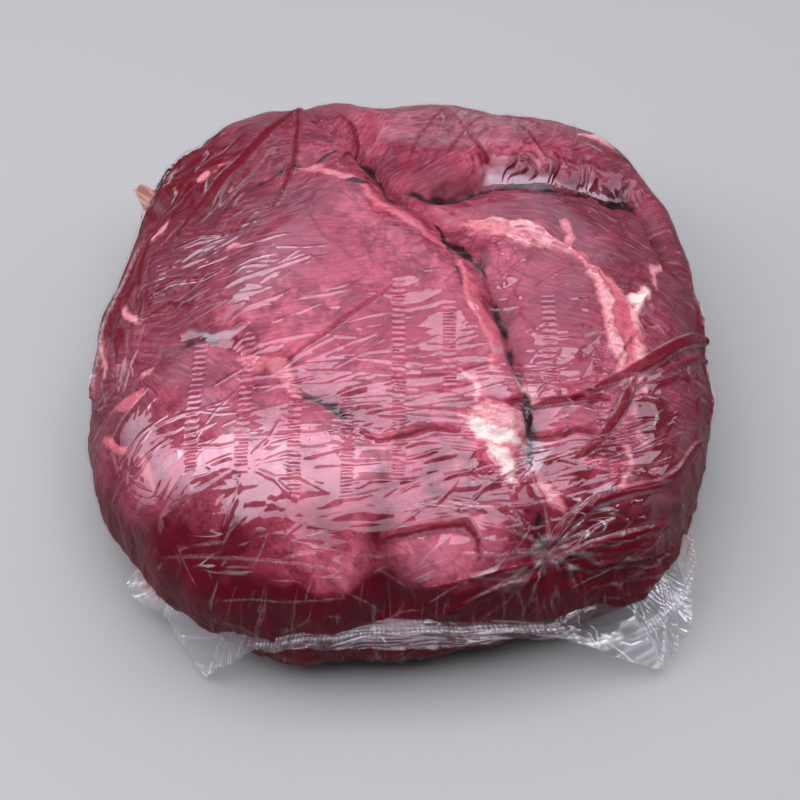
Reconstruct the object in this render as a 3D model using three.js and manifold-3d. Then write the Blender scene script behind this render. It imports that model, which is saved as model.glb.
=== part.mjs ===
// Beef rump heart, vacuum-packed in a clear shrink bag, as one solid out to the bag's skin.
// Millimetres, +Z up. The pack lies on z = 0 and its sealed end faces -Y.
//
// Every point of the skin has a map place (p, q). It is the distance in mm from the middle of
// the top, measured along the skin, so on the flat top (p, q) is the plan place, and past the
// edge it runs on down the side. Lobes, clefts and creases are all laid out on that map.

import * as THREE from 'three';
import Module from 'manifold-3d';

// Driving sizes of the block of meat.
const HEIGHT = 92;
const WIDEST_LEVEL = 36;        // height of the widest level, half way round
const WIDEST_LEAN = 8;          // it lies this much higher at the back and lower in front
const CROWN = 2.8;              // 2 would be a half ellipse, more is flatter with tighter edges
const FOOT = 0.8;               // the flat spot underneath, as a share of the full plan
const NOMINAL_RADIUS = 128;     // the profile's length is measured at this plan radius
const MEASURE_STEPS = 720;      // steps along the profile for that length

// Plan radius every 22.5 degrees, turning from +X through +Y.
const PLAN_RADII = [126, 128, 134, 124, 118, 126, 131, 122, 123, 133, 139, 137, 127, 130, 141, 132];

// Muscle lobes: [p, q, reach along p, reach along q, height].
const LOBES = [
  [45, 80, 60, 25, 5],          // the roll along the back
  [-16, 12, 52, 42, 3],         // the big flat in the middle
  [-62, -74, 62, 36, 5],        // the front left muscle
  [76, -6, 40, 42, 2.5],        // the right-hand muscle
  [14, -114, 34, 20, 5],        // the tongue low in front
  [-66, -124, 44, 20, 4],
  [84, -78, 36, 26, 3],
  [-72, 76, 34, 26, 3],
  [-12, 92, 16, 24, 2],
  [-28, -172, 70, 20, 2],       // the belly under the seal
  [40, 146, 56, 30, 3],         // back and sides
  [-70, 140, 44, 34, 4],
  [-160, 24, 30, 46, 2],
  [-166, -66, 28, 34, 2],
  [166, 30, 30, 40, 2],
  [164, -56, 28, 34, 2],
];

// Clefts between the muscles: depth, half width, how much higher the left bank stands when
// looking along the path, and the path on the map.
const CLEFTS = [
  { depth: 9, width: 7.5, bank: -1.5, path: [[-38, 96], [-28, 83], [-12, 64], [2, 46], [17, 30],
    [28, 17], [38, -5], [47, -42], [51, -66], [55, -98], [58, -120]] },
  { depth: 9, width: 7.5, bank: 4, path: [[2, 46], [22, 43], [40, 50], [72, 51], [100, 56],
    [114, 40], [126, 20]] },
  { depth: 6.5, width: 7.5, bank: 1.5, path: [[-166, -52], [-128, -43], [-85, -23], [-68, -26],
    [-38, -50], [-18, -60], [2, -68], [20, -88], [29, -92]] },
  { depth: 4, width: 7, bank: 0, path: [[-92, 34], [-67, 50], [-47, 64], [-28, 68]] },
  { depth: 7, width: 8, bank: 0, path: [[-16, -104], [-8, -118], [-4, -136], [-8, -150]] },
  { depth: 5, width: 8, bank: 0, path: [[50, -114], [84, -120], [112, -114], [128, -104]] },
  { depth: 5, width: 8, bank: 0, path: [[-44, 116], [-50, 140], [-60, 176]] },
  { depth: 5, width: 8, bank: 0, path: [[60, 112], [66, 140], [78, 176]] },
  { depth: 5, width: 8, bank: 0, path: [[-106, 96], [-132, 106], [-152, 112]] },
  { depth: 4, width: 8, bank: 0, path: [[128, 70], [150, 84], [166, 92]] },
];
const CLEFT_TAPER = 22;         // a cleft runs out over this length at either end
const BANK_REACH = 16;          // a higher bank slopes away over this distance

// Uneven swelling all over: [wave length along p, along q, height, phase].
const SWELLS = [[74, 92, 1.1, 0.6], [47, 61, 0.8, 2.1], [33, 38, 0.5, 4.0]];
const SKIN_FADE = 26;           // all relief dies out over the last stretch to the flat spot

// The clear skirt past the heat seal. At each azimuth in degrees: the height of its root on
// the pack, then how far its free edge reaches from the middle, and that edge's height.
const SKIRT = [
  [-139, 24, 145, 18], [-135, 25, 144, 13], [-130, 28, 141, 13], [-126, 31, 144, 9],
  [-120.5, 37, 149.5, 4], [-115.5, 45, 141, 14], [-111, 48, 138, 22], [-107, 49, 135, 31],
  [-100, 48, 135.5, 41], [-90, 48, 136.5, 46], [-77, 44, 137, 44], [-69, 38, 138, 40],
  [-64, 35, 139.5, 32], [-60, 35, 144, 24], [-56.5, 36, 150, 14], [-53, 35, 157, 8],
  [-50.5, 32, 164, 5], [-47.5, 29, 163, 8], [-45, 26, 161, 13], [-41.5, 26, 156, 18],
  [-39, 30, 151, 24], [-36, 36, 143, 36],
];
// The bag's factory seal at the back, and the little ear of film at the back left.
const BACK_LIP = [
  [56, 42, 132, 40], [70, 42, 131, 42], [84, 42, 129, 38], [98, 42, 128, 42], [112, 42, 134, 39],
  [124, 42, 137, 41],
];
const EAR = [[140, 50, 127, 52], [143, 48, 137, 49], [147, 46, 138, 45], [150, 44, 128, 43]];

const FILM_THICKNESS = 1.1;     // two plies and their ripples
const ROOT_DEPTH = 7;           // how far a skirt's root is sunk in the pack
const PLEAT_PITCH = 26;         // slow waves along a free edge
const PLEAT_HEIGHT = 1.6;
const SHEET_BELLY = 1.5;        // a sheet of film bellies out this far half way to its edge

// Grid of the skin, and of the thin sheets.
const SKIN_CELLS = 64;
const SKIRT_CELLS = 52;
const SMALL_SHEET_CELLS = 10;
const OUTWARD_CELLS = 3;

const RIGHT_ANGLE = Math.PI / 2;

function mix(a, b, share) {
  return a + (b - a) * share;
}

function smooth(from, to, value) {
  const t = Math.min(1, Math.max(0, (value - from) / (to - from)));
  return t * t * (3 - 2 * t);
}

// Plan radius at an angle: a closed Catmull-Rom curve through PLAN_RADII.
function planRadius(angle) {
  const count = PLAN_RADII.length;
  const turn = ((angle / (2 * Math.PI)) % 1 + 1) % 1 * count;
  const at = Math.floor(turn);
  const f = turn - at;
  const [a, b, c, d] = [-1, 0, 1, 2].map((k) => PLAN_RADII[(at + k + count) % count]);
  return b + 0.5 * f * (c - a + f * (2 * a - 5 * b + 4 * c - d + f * (3 * (b - c) + d - a)));
}

// The profile at turn phi, 0 at the crown and pi where the skin meets the table: the share of
// the plan radius, and the shares of the height above and below the widest level.
function profile(phi) {
  if (phi <= RIGHT_ANGLE) {
    const out = Math.sin(phi) ** (2 / CROWN);
    return [out, Math.max(0, Math.cos(phi)) ** (2 / CROWN), 0];
  }
  const under = phi - RIGHT_ANGLE;
  return [FOOT + (1 - FOOT) * Math.cos(under), 0, Math.sin(under)];
}

// Length along the skin from the crown, at each step of phi, on the nominal radius.
function measureProfile() {
  const lengths = [0];
  let before = null;
  for (let i = 0; i <= MEASURE_STEPS; i += 1) {
    const [out, up, down] = profile(Math.PI * i / MEASURE_STEPS);
    const here = [NOMINAL_RADIUS * out, (HEIGHT - WIDEST_LEVEL) * up - WIDEST_LEVEL * down];
    if (before) lengths.push(lengths[i - 1] + Math.hypot(here[0] - before[0], here[1] - before[1]));
    before = here;
  }
  return lengths;
}
const LENGTHS = measureProfile();
const SKIN_LENGTH = LENGTHS[MEASURE_STEPS];

function turnAtLength(length) {
  let low = 0;
  let high = MEASURE_STEPS;
  while (high - low > 1) {
    const middle = (low + high) >> 1;
    if (LENGTHS[middle] > length) high = middle;
    else low = middle;
  }
  const share = (length - LENGTHS[low]) / (LENGTHS[high] - LENGTHS[low]);
  return Math.PI * Math.min(low + share, MEASURE_STEPS) / MEASURE_STEPS;
}

// The smooth skin, without lobes or clefts, at a map place.
function smoothSkin(p, q) {
  const angle = Math.atan2(q, p);
  const radius = planRadius(angle);
  const [out, up, down] = profile(turnAtLength(Math.hypot(p, q) / radius * NOMINAL_RADIUS));
  const level = WIDEST_LEVEL + WIDEST_LEAN * Math.sin(angle);
  const x = radius * out * Math.cos(angle);
  const y = radius * out * Math.sin(angle);
  return new THREE.Vector3(x, y, level + (HEIGHT - level) * up - level * down);
}

function skinNormal(p, q) {
  const step = 0.5;
  const alongP = smoothSkin(p + step, q).sub(smoothSkin(p - step, q));
  const alongQ = smoothSkin(p, q + step).sub(smoothSkin(p, q - step));
  return alongP.cross(alongQ).normalize();
}

// Nearest point of a path: how far off it lies, on which side, and how far from the ends.
function measureToPath(path, p, q) {
  let best = { off: Infinity, side: 0, along: 0 };
  let walked = 0;
  for (let i = 1; i < path.length; i += 1) {
    const [ax, ay] = path[i - 1];
    const [dx, dy] = [path[i][0] - ax, path[i][1] - ay];
    const long = Math.hypot(dx, dy);
    const share = Math.min(1, Math.max(0, ((p - ax) * dx + (q - ay) * dy) / (long * long)));
    const off = Math.hypot(p - ax - share * dx, q - ay - share * dy);
    if (off < best.off) {
      const side = Math.sign(dx * (q - ay) - dy * (p - ax));
      best = { off, side, along: walked + share * long };
    }
    walked += long;
  }
  return { ...best, toEnd: Math.min(best.along, walked - best.along) };
}

// How far the bag's skin stands out from the smooth skin.
function relief(p, q) {
  let height = 0;
  for (const [atP, atQ, reachP, reachQ, lift] of LOBES) {
    height += lift * Math.exp(-(((p - atP) / reachP) ** 2) - ((q - atQ) / reachQ) ** 2);
  }
  for (const [longP, longQ, lift, phase] of SWELLS) {
    height += lift * Math.sin(2 * Math.PI * p / longP + phase) * Math.cos(2 * Math.PI * q / longQ - phase);
  }
  for (const { depth, width, bank, path } of CLEFTS) {
    const { off, side, toEnd } = measureToPath(path, p, q);
    const strength = smooth(0, CLEFT_TAPER, toEnd);
    height -= strength * depth * Math.exp(-((off / width) ** 2));
    height += strength * bank * side * Math.exp(-off / BANK_REACH) * (1 - Math.exp(-off / width));
  }
  const left = SKIN_LENGTH - Math.hypot(p, q) / planRadius(Math.atan2(q, p)) * NOMINAL_RADIUS;
  return height * smooth(0, SKIN_FADE, left);
}

// The whole skin on a square grid drawn out to a disc, closed underneath by a flat fan. Each
// cell is split along its more level diagonal, so that clefts run on from cell to cell.
function packBody() {
  const side = SKIN_CELLS + 1;
  const positions = [];
  const heights = [];
  const faces = [];
  for (let row = 0; row < side; row += 1) {
    for (let column = 0; column < side; column += 1) {
      const a = 2 * column / SKIN_CELLS - 1;
      const b = 2 * row / SKIN_CELLS - 1;
      const ring = Math.max(Math.abs(a), Math.abs(b));
      const angle = Math.atan2(b, a);
      const length = ring * planRadius(angle) * SKIN_LENGTH / NOMINAL_RADIUS;
      const [p, q] = [length * Math.cos(angle), length * Math.sin(angle)];
      const point = smoothSkin(p, q);
      const height = relief(p, q);
      if (ring > 0 && ring < 1) point.addScaledVector(skinNormal(p, q), height);
      if (ring === 0) point.z += height;
      if (ring === 1) point.z = 0;
      positions.push(point.x, point.y, point.z);
      heights.push(height);
    }
  }
  for (let row = 0; row < SKIN_CELLS; row += 1) {
    for (let column = 0; column < SKIN_CELLS; column += 1) {
      const [a, b, c, d] = [0, 1, side + 1, side].map((step) => row * side + column + step);
      const fallsAlongAC = Math.abs(heights[a] - heights[c]);
      const fallsAlongBD = Math.abs(heights[b] - heights[d]);
      if (fallsAlongAC < fallsAlongBD) faces.push(a, b, c, a, c, d);
      else faces.push(a, b, d, b, c, d);
    }
  }
  const rim = [];
  for (let i = 0; i < SKIN_CELLS; i += 1) rim.push(i);
  for (let i = 0; i < SKIN_CELLS; i += 1) rim.push(i * side + SKIN_CELLS);
  for (let i = 0; i < SKIN_CELLS; i += 1) rim.push((side - 1) * side + SKIN_CELLS - i);
  for (let i = 0; i < SKIN_CELLS; i += 1) rim.push((side - 1 - i) * side);
  const middle = positions.length / 3;
  positions.push(0, 0, 0);
  rim.forEach((at, i) => faces.push(rim[(i + 1) % rim.length], at, middle));
  return { positions, faces };
}

// Distance from the middle to the smooth skin, at an azimuth and a height.
function skinReach(angle, height) {
  const level = WIDEST_LEVEL + WIDEST_LEAN * Math.sin(angle);
  if (height < level) {
    const under = Math.asin((level - height) / level);
    return planRadius(angle) * (FOOT + (1 - FOOT) * Math.cos(under));
  }
  const phi = Math.acos(((height - level) / (HEIGHT - level)) ** (CROWN / 2));
  return planRadius(angle) * Math.sin(phi) ** (2 / CROWN);
}

// A thin sheet of film that leaves the pack along a row of stations and ends in a free edge.
function filmSheet(stations, cells) {
  const pointAt = (along, outward) => {
    const place = along * (stations.length - 1);
    const at = Math.min(stations.length - 2, Math.floor(place));
    const share = place - at;
    const [degrees, rootHeight, reach, edgeHeight] = stations[at].map((value, k) => {
      return mix(value, stations[at + 1][k], share);
    });
    const angle = THREE.MathUtils.degToRad(degrees);
    const root = skinReach(angle, rootHeight) - ROOT_DEPTH;
    const wave = Math.sin(2 * Math.PI * reach * angle / PLEAT_PITCH);
    const out = mix(root, reach, outward) + SHEET_BELLY * Math.sin(Math.PI * outward);
    const height = mix(rootHeight, edgeHeight, outward) + PLEAT_HEIGHT * outward * wave;
    return new THREE.Vector3(out * Math.cos(angle), out * Math.sin(angle), height);
  };
  const positions = [];
  const faces = [];
  const rows = OUTWARD_CELLS + 1;
  const step = 0.001;
  for (const face of [1, -1]) {
    for (let i = 0; i <= cells; i += 1) {
      for (let j = 0; j < rows; j += 1) {
        const [u, v] = [i / cells, j / OUTWARD_CELLS];
        const point = pointAt(u, v);
        const alongU = pointAt(Math.min(1, u + step), v).sub(pointAt(Math.max(0, u - step), v));
        const alongV = pointAt(u, v + step).sub(pointAt(u, v - step));
        const normal = alongV.cross(alongU).normalize();
        point.addScaledVector(normal, face * FILM_THICKNESS / 2);
        positions.push(point.x, point.y, point.z);
      }
    }
  }
  const back = (cells + 1) * rows;
  const at = (i, j) => i * rows + j;
  const quad = (a, b, c, d) => faces.push(a, b, c, a, c, d);
  for (let i = 0; i < cells; i += 1) {
    for (let j = 0; j < OUTWARD_CELLS; j += 1) {
      quad(at(i, j), at(i, j + 1), at(i + 1, j + 1), at(i + 1, j));
      quad(back + at(i, j), back + at(i + 1, j), back + at(i + 1, j + 1), back + at(i, j + 1));
    }
    quad(at(i, 0), at(i + 1, 0), back + at(i + 1, 0), back + at(i, 0));
    quad(at(i + 1, rows - 1), at(i, rows - 1), back + at(i, rows - 1), back + at(i + 1, rows - 1));
  }
  for (let j = 0; j < OUTWARD_CELLS; j += 1) {
    quad(at(0, j + 1), at(0, j), back + at(0, j), back + at(0, j + 1));
    quad(at(cells, j), at(cells, j + 1), back + at(cells, j + 1), back + at(cells, j));
  }
  return { positions, faces };
}

const wasm = await Module();
wasm.setup();

function solid({ positions, faces }) {
  const vertProperties = new Float32Array(positions);
  const triVerts = new Uint32Array(faces);
  return new wasm.Manifold(new wasm.Mesh({ numProp: 3, vertProperties, triVerts }));
}

let pack = solid(packBody());
pack = pack.add(solid(filmSheet(SKIRT, SKIRT_CELLS)));
pack = pack.add(solid(filmSheet(BACK_LIP, SMALL_SHEET_CELLS)));
pack = pack.add(solid(filmSheet(EAR, SMALL_SHEET_CELLS)));

const { vertProperties, triVerts } = pack.getMesh();
const geometry = new THREE.BufferGeometry();
geometry.setAttribute('position', new THREE.BufferAttribute(vertProperties, 3));
geometry.setIndex(new THREE.BufferAttribute(triVerts, 1));
geometry.computeVertexNormals();

// The origin lies on the table, under the middle of the pack's box.
geometry.computeBoundingBox();
const middle = geometry.boundingBox.getCenter(new THREE.Vector3());
geometry.translate(-middle.x, -middle.y, 0);

const skin = new THREE.MeshStandardMaterial({ color: 0x8c3a52, roughness: 0.2, metalness: 0 });
const packed = new THREE.Mesh(geometry, skin);
packed.name = 'vacuum_packed_beef';

const group = new THREE.Group();
group.add(packed);
export default group;
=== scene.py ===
# %% [markdown]
# # A vacuum-packed beef rump heart
# The real thing is a boneless block of beef, about 25 cm across, shrunk tight into a clear
# bag. Three things make its look: the dark clefts and pale fat of the meat, the film's
# many folds with their hard bright reflections, and the clear skirt of film past the seal.
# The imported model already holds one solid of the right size, out to the bag's skin. This
# script takes that solid's own formula and works it out again much finer, once for the
# meat and once for the film that lies over it.

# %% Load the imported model
import math

import bpy
import numpy as np
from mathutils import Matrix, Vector


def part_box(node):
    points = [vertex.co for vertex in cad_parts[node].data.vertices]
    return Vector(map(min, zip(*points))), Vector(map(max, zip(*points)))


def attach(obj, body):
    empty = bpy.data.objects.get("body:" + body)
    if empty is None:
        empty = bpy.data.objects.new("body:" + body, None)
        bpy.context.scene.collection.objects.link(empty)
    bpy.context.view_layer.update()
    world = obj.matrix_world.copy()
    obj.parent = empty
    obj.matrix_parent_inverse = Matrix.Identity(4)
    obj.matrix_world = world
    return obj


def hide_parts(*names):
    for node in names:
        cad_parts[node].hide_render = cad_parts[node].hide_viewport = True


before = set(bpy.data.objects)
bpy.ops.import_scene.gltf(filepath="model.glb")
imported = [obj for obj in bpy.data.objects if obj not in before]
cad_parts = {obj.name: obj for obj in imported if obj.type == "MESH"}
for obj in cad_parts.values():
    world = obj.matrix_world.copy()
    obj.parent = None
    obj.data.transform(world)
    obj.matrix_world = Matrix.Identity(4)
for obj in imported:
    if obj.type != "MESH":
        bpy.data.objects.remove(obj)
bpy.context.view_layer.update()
NODE = "vacuum_packed_beef"
node_low, node_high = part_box(NODE)
node_size = [round((high - low) * 1000, 1) for low, high in zip(node_low, node_high)]
print(len(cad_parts), "solid, which measures", node_size, "mm")

# %% [markdown]
# ## Sizes
# All lengths below are millimetres, and one factor turns them into Blender's metres at the
# very end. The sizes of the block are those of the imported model.

# %% Sizes of the block
MM = 0.001
HEIGHT = 92.0
WIDEST_LEVEL = 36.0
WIDEST_LEAN = 8.0  # the widest level is this much higher at the back and lower at the front
CROWN = 2.8  # 2 would be a round top, and more is flatter
FOOT = 0.8  # share of the radius that is left at the floor
NOMINAL_RADIUS = 128.0
PLAN_RADII = np.array(
    [126, 128, 134, 124, 118, 126, 131, 122, 123, 133, 139, 137, 127, 130, 141, 132], float
)
MOVE_TO_MIDDLE = np.array([-0.66, 3.95, 0.0])  # brings the middle of the pack's box to 0, 0
SKIN_FADE = 26.0  # over this last length of skin all relief fades, so that the foot is plain
print("plan radius from", PLAN_RADII.min(), "to", PLAN_RADII.max(), "mm")

# %% [markdown]
# ## The map
# A lobed block is hard to describe in x, y and z, so every point of its skin gets a map
# place (p, q) instead: how far it is from the middle of the top, measured along the skin.
# On the flat top (p, q) is the plan place. Past the edge it runs on down the side. A cleft
# or a streak of fat is then a path on a flat map, and only one function has to know the
# block's roundness.


# %% The plan outline
def smooth(low, high, value):
    """0 below low, 1 above high, and 3t^2 - 2t^3 of the share t of the way between."""
    t = np.clip((value - low) / (high - low), 0.0, 1.0)
    return t * t * (3.0 - 2.0 * t)


def plan_radius(angle):
    """The closed Catmull-Rom curve through PLAN_RADII, one radius for each 16th of a turn."""
    count = len(PLAN_RADII)
    turn = (angle / (2 * np.pi)) % 1.0 * count
    at = np.floor(turn).astype(int)
    f = turn - at
    a, b, c, d = (PLAN_RADII[(at + k) % count] for k in (-1, 0, 1, 2))
    return b + 0.5 * f * (c - a + f * (2 * a - 5 * b + 4 * c - d + f * (3 * (b - c) + d - a)))


def nominal_length(p, q):
    """|(p, q)| as it would be on a block whose plan radius is the nominal one all round."""
    return np.hypot(p, q) / plan_radius(np.arctan2(q, p)) * NOMINAL_RADIUS


print("widest at the back", round(float(plan_radius(np.pi / 2)), 1), "mm")


# %% The profile from the crown to the floor
def profile(phi):
    """Shares of radius, rise and fall at turn phi, 0 at the crown and pi at the floor.

    Above the widest level: sin(phi) and cos(phi), each to the power 2 / CROWN. Below it,
    with psi = phi - pi / 2: radius FOOT + (1 - FOOT) cos(psi) and fall sin(psi).
    """
    upper = np.minimum(phi, np.pi / 2)
    under = np.maximum(phi - np.pi / 2, 0.0)
    out = np.sin(upper) ** (2 / CROWN)
    rise = np.clip(np.cos(upper), 0.0, 1.0) ** (2 / CROWN)
    rise = np.where(phi < np.pi / 2, rise, 0.0)
    out = np.where(phi < np.pi / 2, out, FOOT + (1 - FOOT) * np.cos(under))
    return out, rise, np.sin(under)


PROFILE_STEPS = 2001
PROFILE = profile(np.linspace(0.0, np.pi, PROFILE_STEPS))
profile_r = NOMINAL_RADIUS * PROFILE[0]
profile_z = (HEIGHT - WIDEST_LEVEL) * PROFILE[1] - WIDEST_LEVEL * PROFILE[2]
LENGTHS = np.append(0.0, np.cumsum(np.hypot(np.diff(profile_r), np.diff(profile_z))))
SKIN_LENGTH = LENGTHS[-1]
print("from the crown to the floor along the skin:", round(SKIN_LENGTH, 1), "mm")


# %% The smooth skin of the block
def smooth_skin(p, q):
    """The block's skin with no lobes: the profile at length |(p, q)|, turned to its angle."""
    angle = np.arctan2(q, p)
    radius = plan_radius(angle)
    length = nominal_length(p, q)
    out, rise, fall = (np.interp(length, LENGTHS, column) for column in PROFILE)
    level = WIDEST_LEVEL + WIDEST_LEAN * np.sin(angle)
    x = radius * out * np.cos(angle)
    y = radius * out * np.sin(angle)
    return np.stack([x, y, level + (HEIGHT - level) * rise - level * fall], -1)


def skin_normal(p, q, step=0.5):
    """The outward normal: the cross product of the skin's two slopes on the map."""
    along_p = smooth_skin(p + step, q) - smooth_skin(p - step, q)
    along_q = smooth_skin(p, q + step) - smooth_skin(p, q - step)
    normal = np.cross(along_p, along_q)
    return normal / np.linalg.norm(normal, axis=-1, keepdims=True)


front_place = smooth_skin(np.array(0.0), np.array(-110.0))
print("110 mm down the front is at", front_place.round(1), "mm")

# %% [markdown]
# ## One grid without a pole
# A grid of rings would crowd its points at the crown, and the film's folds would show it.
# So a square grid is drawn out to a disc: the ring a point lies on is the larger of its two
# square coordinates, and its angle stays. The disc is then laid over the block by the map.


# %% A square grid drawn out to a disc
def square_grid(cells):
    """Ring, from 0 in the middle to 1 at the rim, and angle of each point of a square grid."""
    side = np.linspace(-1.0, 1.0, cells + 1)
    a, b = np.meshgrid(side, side)
    return np.maximum(abs(a), abs(b)), np.arctan2(b, a)


def skin_grid(cells):
    """Map places of (cells + 1)^2 points: the ring's share of the skin's length, at its angle."""
    ring, angle = square_grid(cells)
    length = ring * SKIN_LENGTH / NOMINAL_RADIUS * plan_radius(angle)
    return (length * np.cos(angle)).ravel(), (length * np.sin(angle)).ravel()


FILM_CELLS = 801
MEAT_CELLS = 441
for what, cells in (("film", FILM_CELLS), ("meat", MEAT_CELLS)):
    print("a cell of the", what, "is about", round(2 * SKIN_LENGTH / cells, 2), "mm")

# %% [markdown]
# ## Repeatable randomness
# Meat and film are uneven, but the same picture has to come out each time. The waves below
# are gradient noise: a hash gives each whole place of a lattice a random slope, and the
# slopes are blended across each cell. Its absolute value has sharp valleys where it passes
# through nought, which upside down makes the ridges of creased film.


# %% Smooth random waves
def random_at(i, j, seed):
    """A repeatable number from 0 to 1 for a whole place: its two numbers and seed, hashed."""
    mixed = i.astype(np.int64) * 374761393 + j.astype(np.int64) * 668265263
    mixed = (mixed + seed * 974634777) & 0xFFFFFFFF
    mixed = ((mixed ^ (mixed >> 13)) * 1274126177) & 0xFFFFFFFF
    return ((mixed ^ (mixed >> 16)) & 0xFFFF) / 65535.0


def waves(u, v, seed):
    """Gradient noise, about -1 to 1: corner slopes blended by 6t^5 - 15t^4 + 10t^3."""
    i, j = np.floor(u), np.floor(v)
    f, g = u - i, v - j

    def corner(di, dj):
        turn = 2 * np.pi * random_at(i + di, j + dj, seed)
        return np.cos(turn) * (f - di) + np.sin(turn) * (g - dj)

    s, t = (k * k * k * (k * (6 * k - 15) + 10) for k in (f, g))
    near = corner(0, 0) * (1 - s) + corner(1, 0) * s
    far = corner(0, 1) * (1 - s) + corner(1, 1) * s
    return 1.5 * (near * (1 - t) + far * t)


def creased(u, v, seed):
    """Ridged waves, 0 to 1: one less the absolute value of the waves, squared."""
    return (1.0 - np.minimum(abs(waves(u, v, seed)) * 1.6, 1.0)) ** 2


trial = waves(*np.meshgrid(np.linspace(0, 20, 200), np.linspace(0, 20, 200)), seed=1)
print("waves run from", round(float(trial.min()), 2), "to", round(float(trial.max()), 2))

# %% [markdown]
# ## Paths and spots on the map
# Clefts, streaks of fat and folds of film are all bands along a path. A path's points carry
# the band's half width too, so a band can swell and run out. For speed, a path only looks
# at the map points near it. Everything that has a place but no path, such as a lobe or a
# patch of creases, is a spot: a middle and two reaches.


# %% Distance to a band
def near_path(path, p, q, reach):
    """Which points lie near a path, and for them: distance, side, half width, to the end."""
    path = np.asarray(path, float)
    low, high = path[:, :2].min(0) - reach, path[:, :2].max(0) + reach
    chosen = np.flatnonzero((p > low[0]) & (p < high[0]) & (q > low[1]) & (q < high[1]))
    x, y = p[chosen], q[chosen]
    off = np.full(len(chosen), np.inf)
    side, width, along = (np.zeros(len(chosen)) for _ in range(3))
    walked = 0.0
    for start, end in zip(path[:-1], path[1:]):
        dx, dy = end[:2] - start[:2]
        long = math.hypot(dx, dy)
        share = np.clip(((x - start[0]) * dx + (y - start[1]) * dy) / long**2, 0.0, 1.0)
        here = np.hypot(x - start[0] - share * dx, y - start[1] - share * dy)
        closer = here < off
        off = np.where(closer, here, off)
        side = np.where(closer, np.sign(dx * (y - start[1]) - dy * (x - start[0])), side)
        width = np.where(closer, start[2] + share * (end[2] - start[2]), width)
        along = np.where(closer, walked + share * long, along)
        walked += long
    return chosen, off, side, width, np.minimum(along, walked - along)


def inside_bands(bands, p, q, reach=6.0):
    """How far each point lies inside the nearest band: its half width less the distance."""
    depth = np.full(p.shape, -reach)
    for path in bands:
        chosen, off, _, width, _ = near_path(path, p, q, reach + 8.0)
        depth[chosen] = np.maximum(depth[chosen], width - off)
    return depth


trial_depth = inside_bands([[(0, 0, 2), (9, 0, 2)]], np.array([4.0]), np.array([0.5]))
print("half a millimetre off the middle of a 4 mm band is", trial_depth[0], "mm inside it")


# %% Spots, and places measured along a direction
def ellipse(p, q, at_p, at_q, reach_p, reach_q):
    """(dp / reach)^2 + (dq / reach)^2: 0 in a spot's middle and 1 on the line of its reaches."""
    return ((p - at_p) / reach_p) ** 2 + ((q - at_q) / reach_q) ** 2


def soft_spot(p, q, *place):
    """A spot with no edge: e to the power of minus its ellipse."""
    return np.exp(-ellipse(p, q, *place))


def soft_spots(p, q, spots):
    """The sum of soft spots, each times the last number of its row."""
    return sum(amount * soft_spot(p, q, *place) for *place, amount in spots)


def edged_spots(p, q, spots, outer, inner):
    """The sum of spots with an edge: none of one past the ellipse outer, all within inner."""
    return sum(
        amount * smooth(outer, inner, ellipse(p, q, *place)) for *place, amount in spots
    )


def turned(p, q, degrees):
    """Places along and across a direction: p cos + q sin, and q cos - p sin."""
    turn = np.radians(degrees)
    return p * np.cos(turn) + q * np.sin(turn), q * np.cos(turn) - p * np.sin(turn)


def as_places(u, v):
    """Two numbers for each point, as the flat places that a texture reads."""
    return np.stack([u, v, np.zeros_like(u)], -1)


print("a spot at twice its reach has faded to", round(float(soft_spot(2.0, 0.0, 0, 0, 1, 1)), 3))

# %% [markdown]
# ## Where everything lies
# The block is three muscles folded together. The lists hold the lobes they make, the clefts
# where they meet, and the fat along those clefts. All of it was laid out on the map, since
# every piece of meat is cut by hand and no rule gives its shape. Each point of a path
# is (p, q, half width) in millimetres.

# %% Lobes and swells, as in the solid
# Lobes: middle, reach and height. Swells: two wave lengths, height and phase.
LOBES = [
    (45, 80, 60, 25, 5), (-16, 12, 52, 42, 3), (-62, -74, 62, 36, 5), (76, -6, 40, 42, 2.5),
    (14, -114, 34, 20, 5), (-66, -124, 44, 20, 4), (84, -78, 36, 26, 3), (-72, 76, 34, 26, 3),
    (-12, 92, 16, 24, 2), (-28, -172, 70, 20, 2), (40, 146, 56, 30, 3), (-70, 140, 44, 34, 4),
    (-160, 24, 30, 46, 2), (-166, -66, 28, 34, 2), (166, 30, 30, 40, 2), (164, -56, 28, 34, 2),
]
SWELLS = [(74, 92, 1.1, 0.6), (47, 61, 0.8, 2.1), (33, 38, 0.5, 4.0)]
print(len(LOBES), "lobes and", len(SWELLS), "swells")

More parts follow.
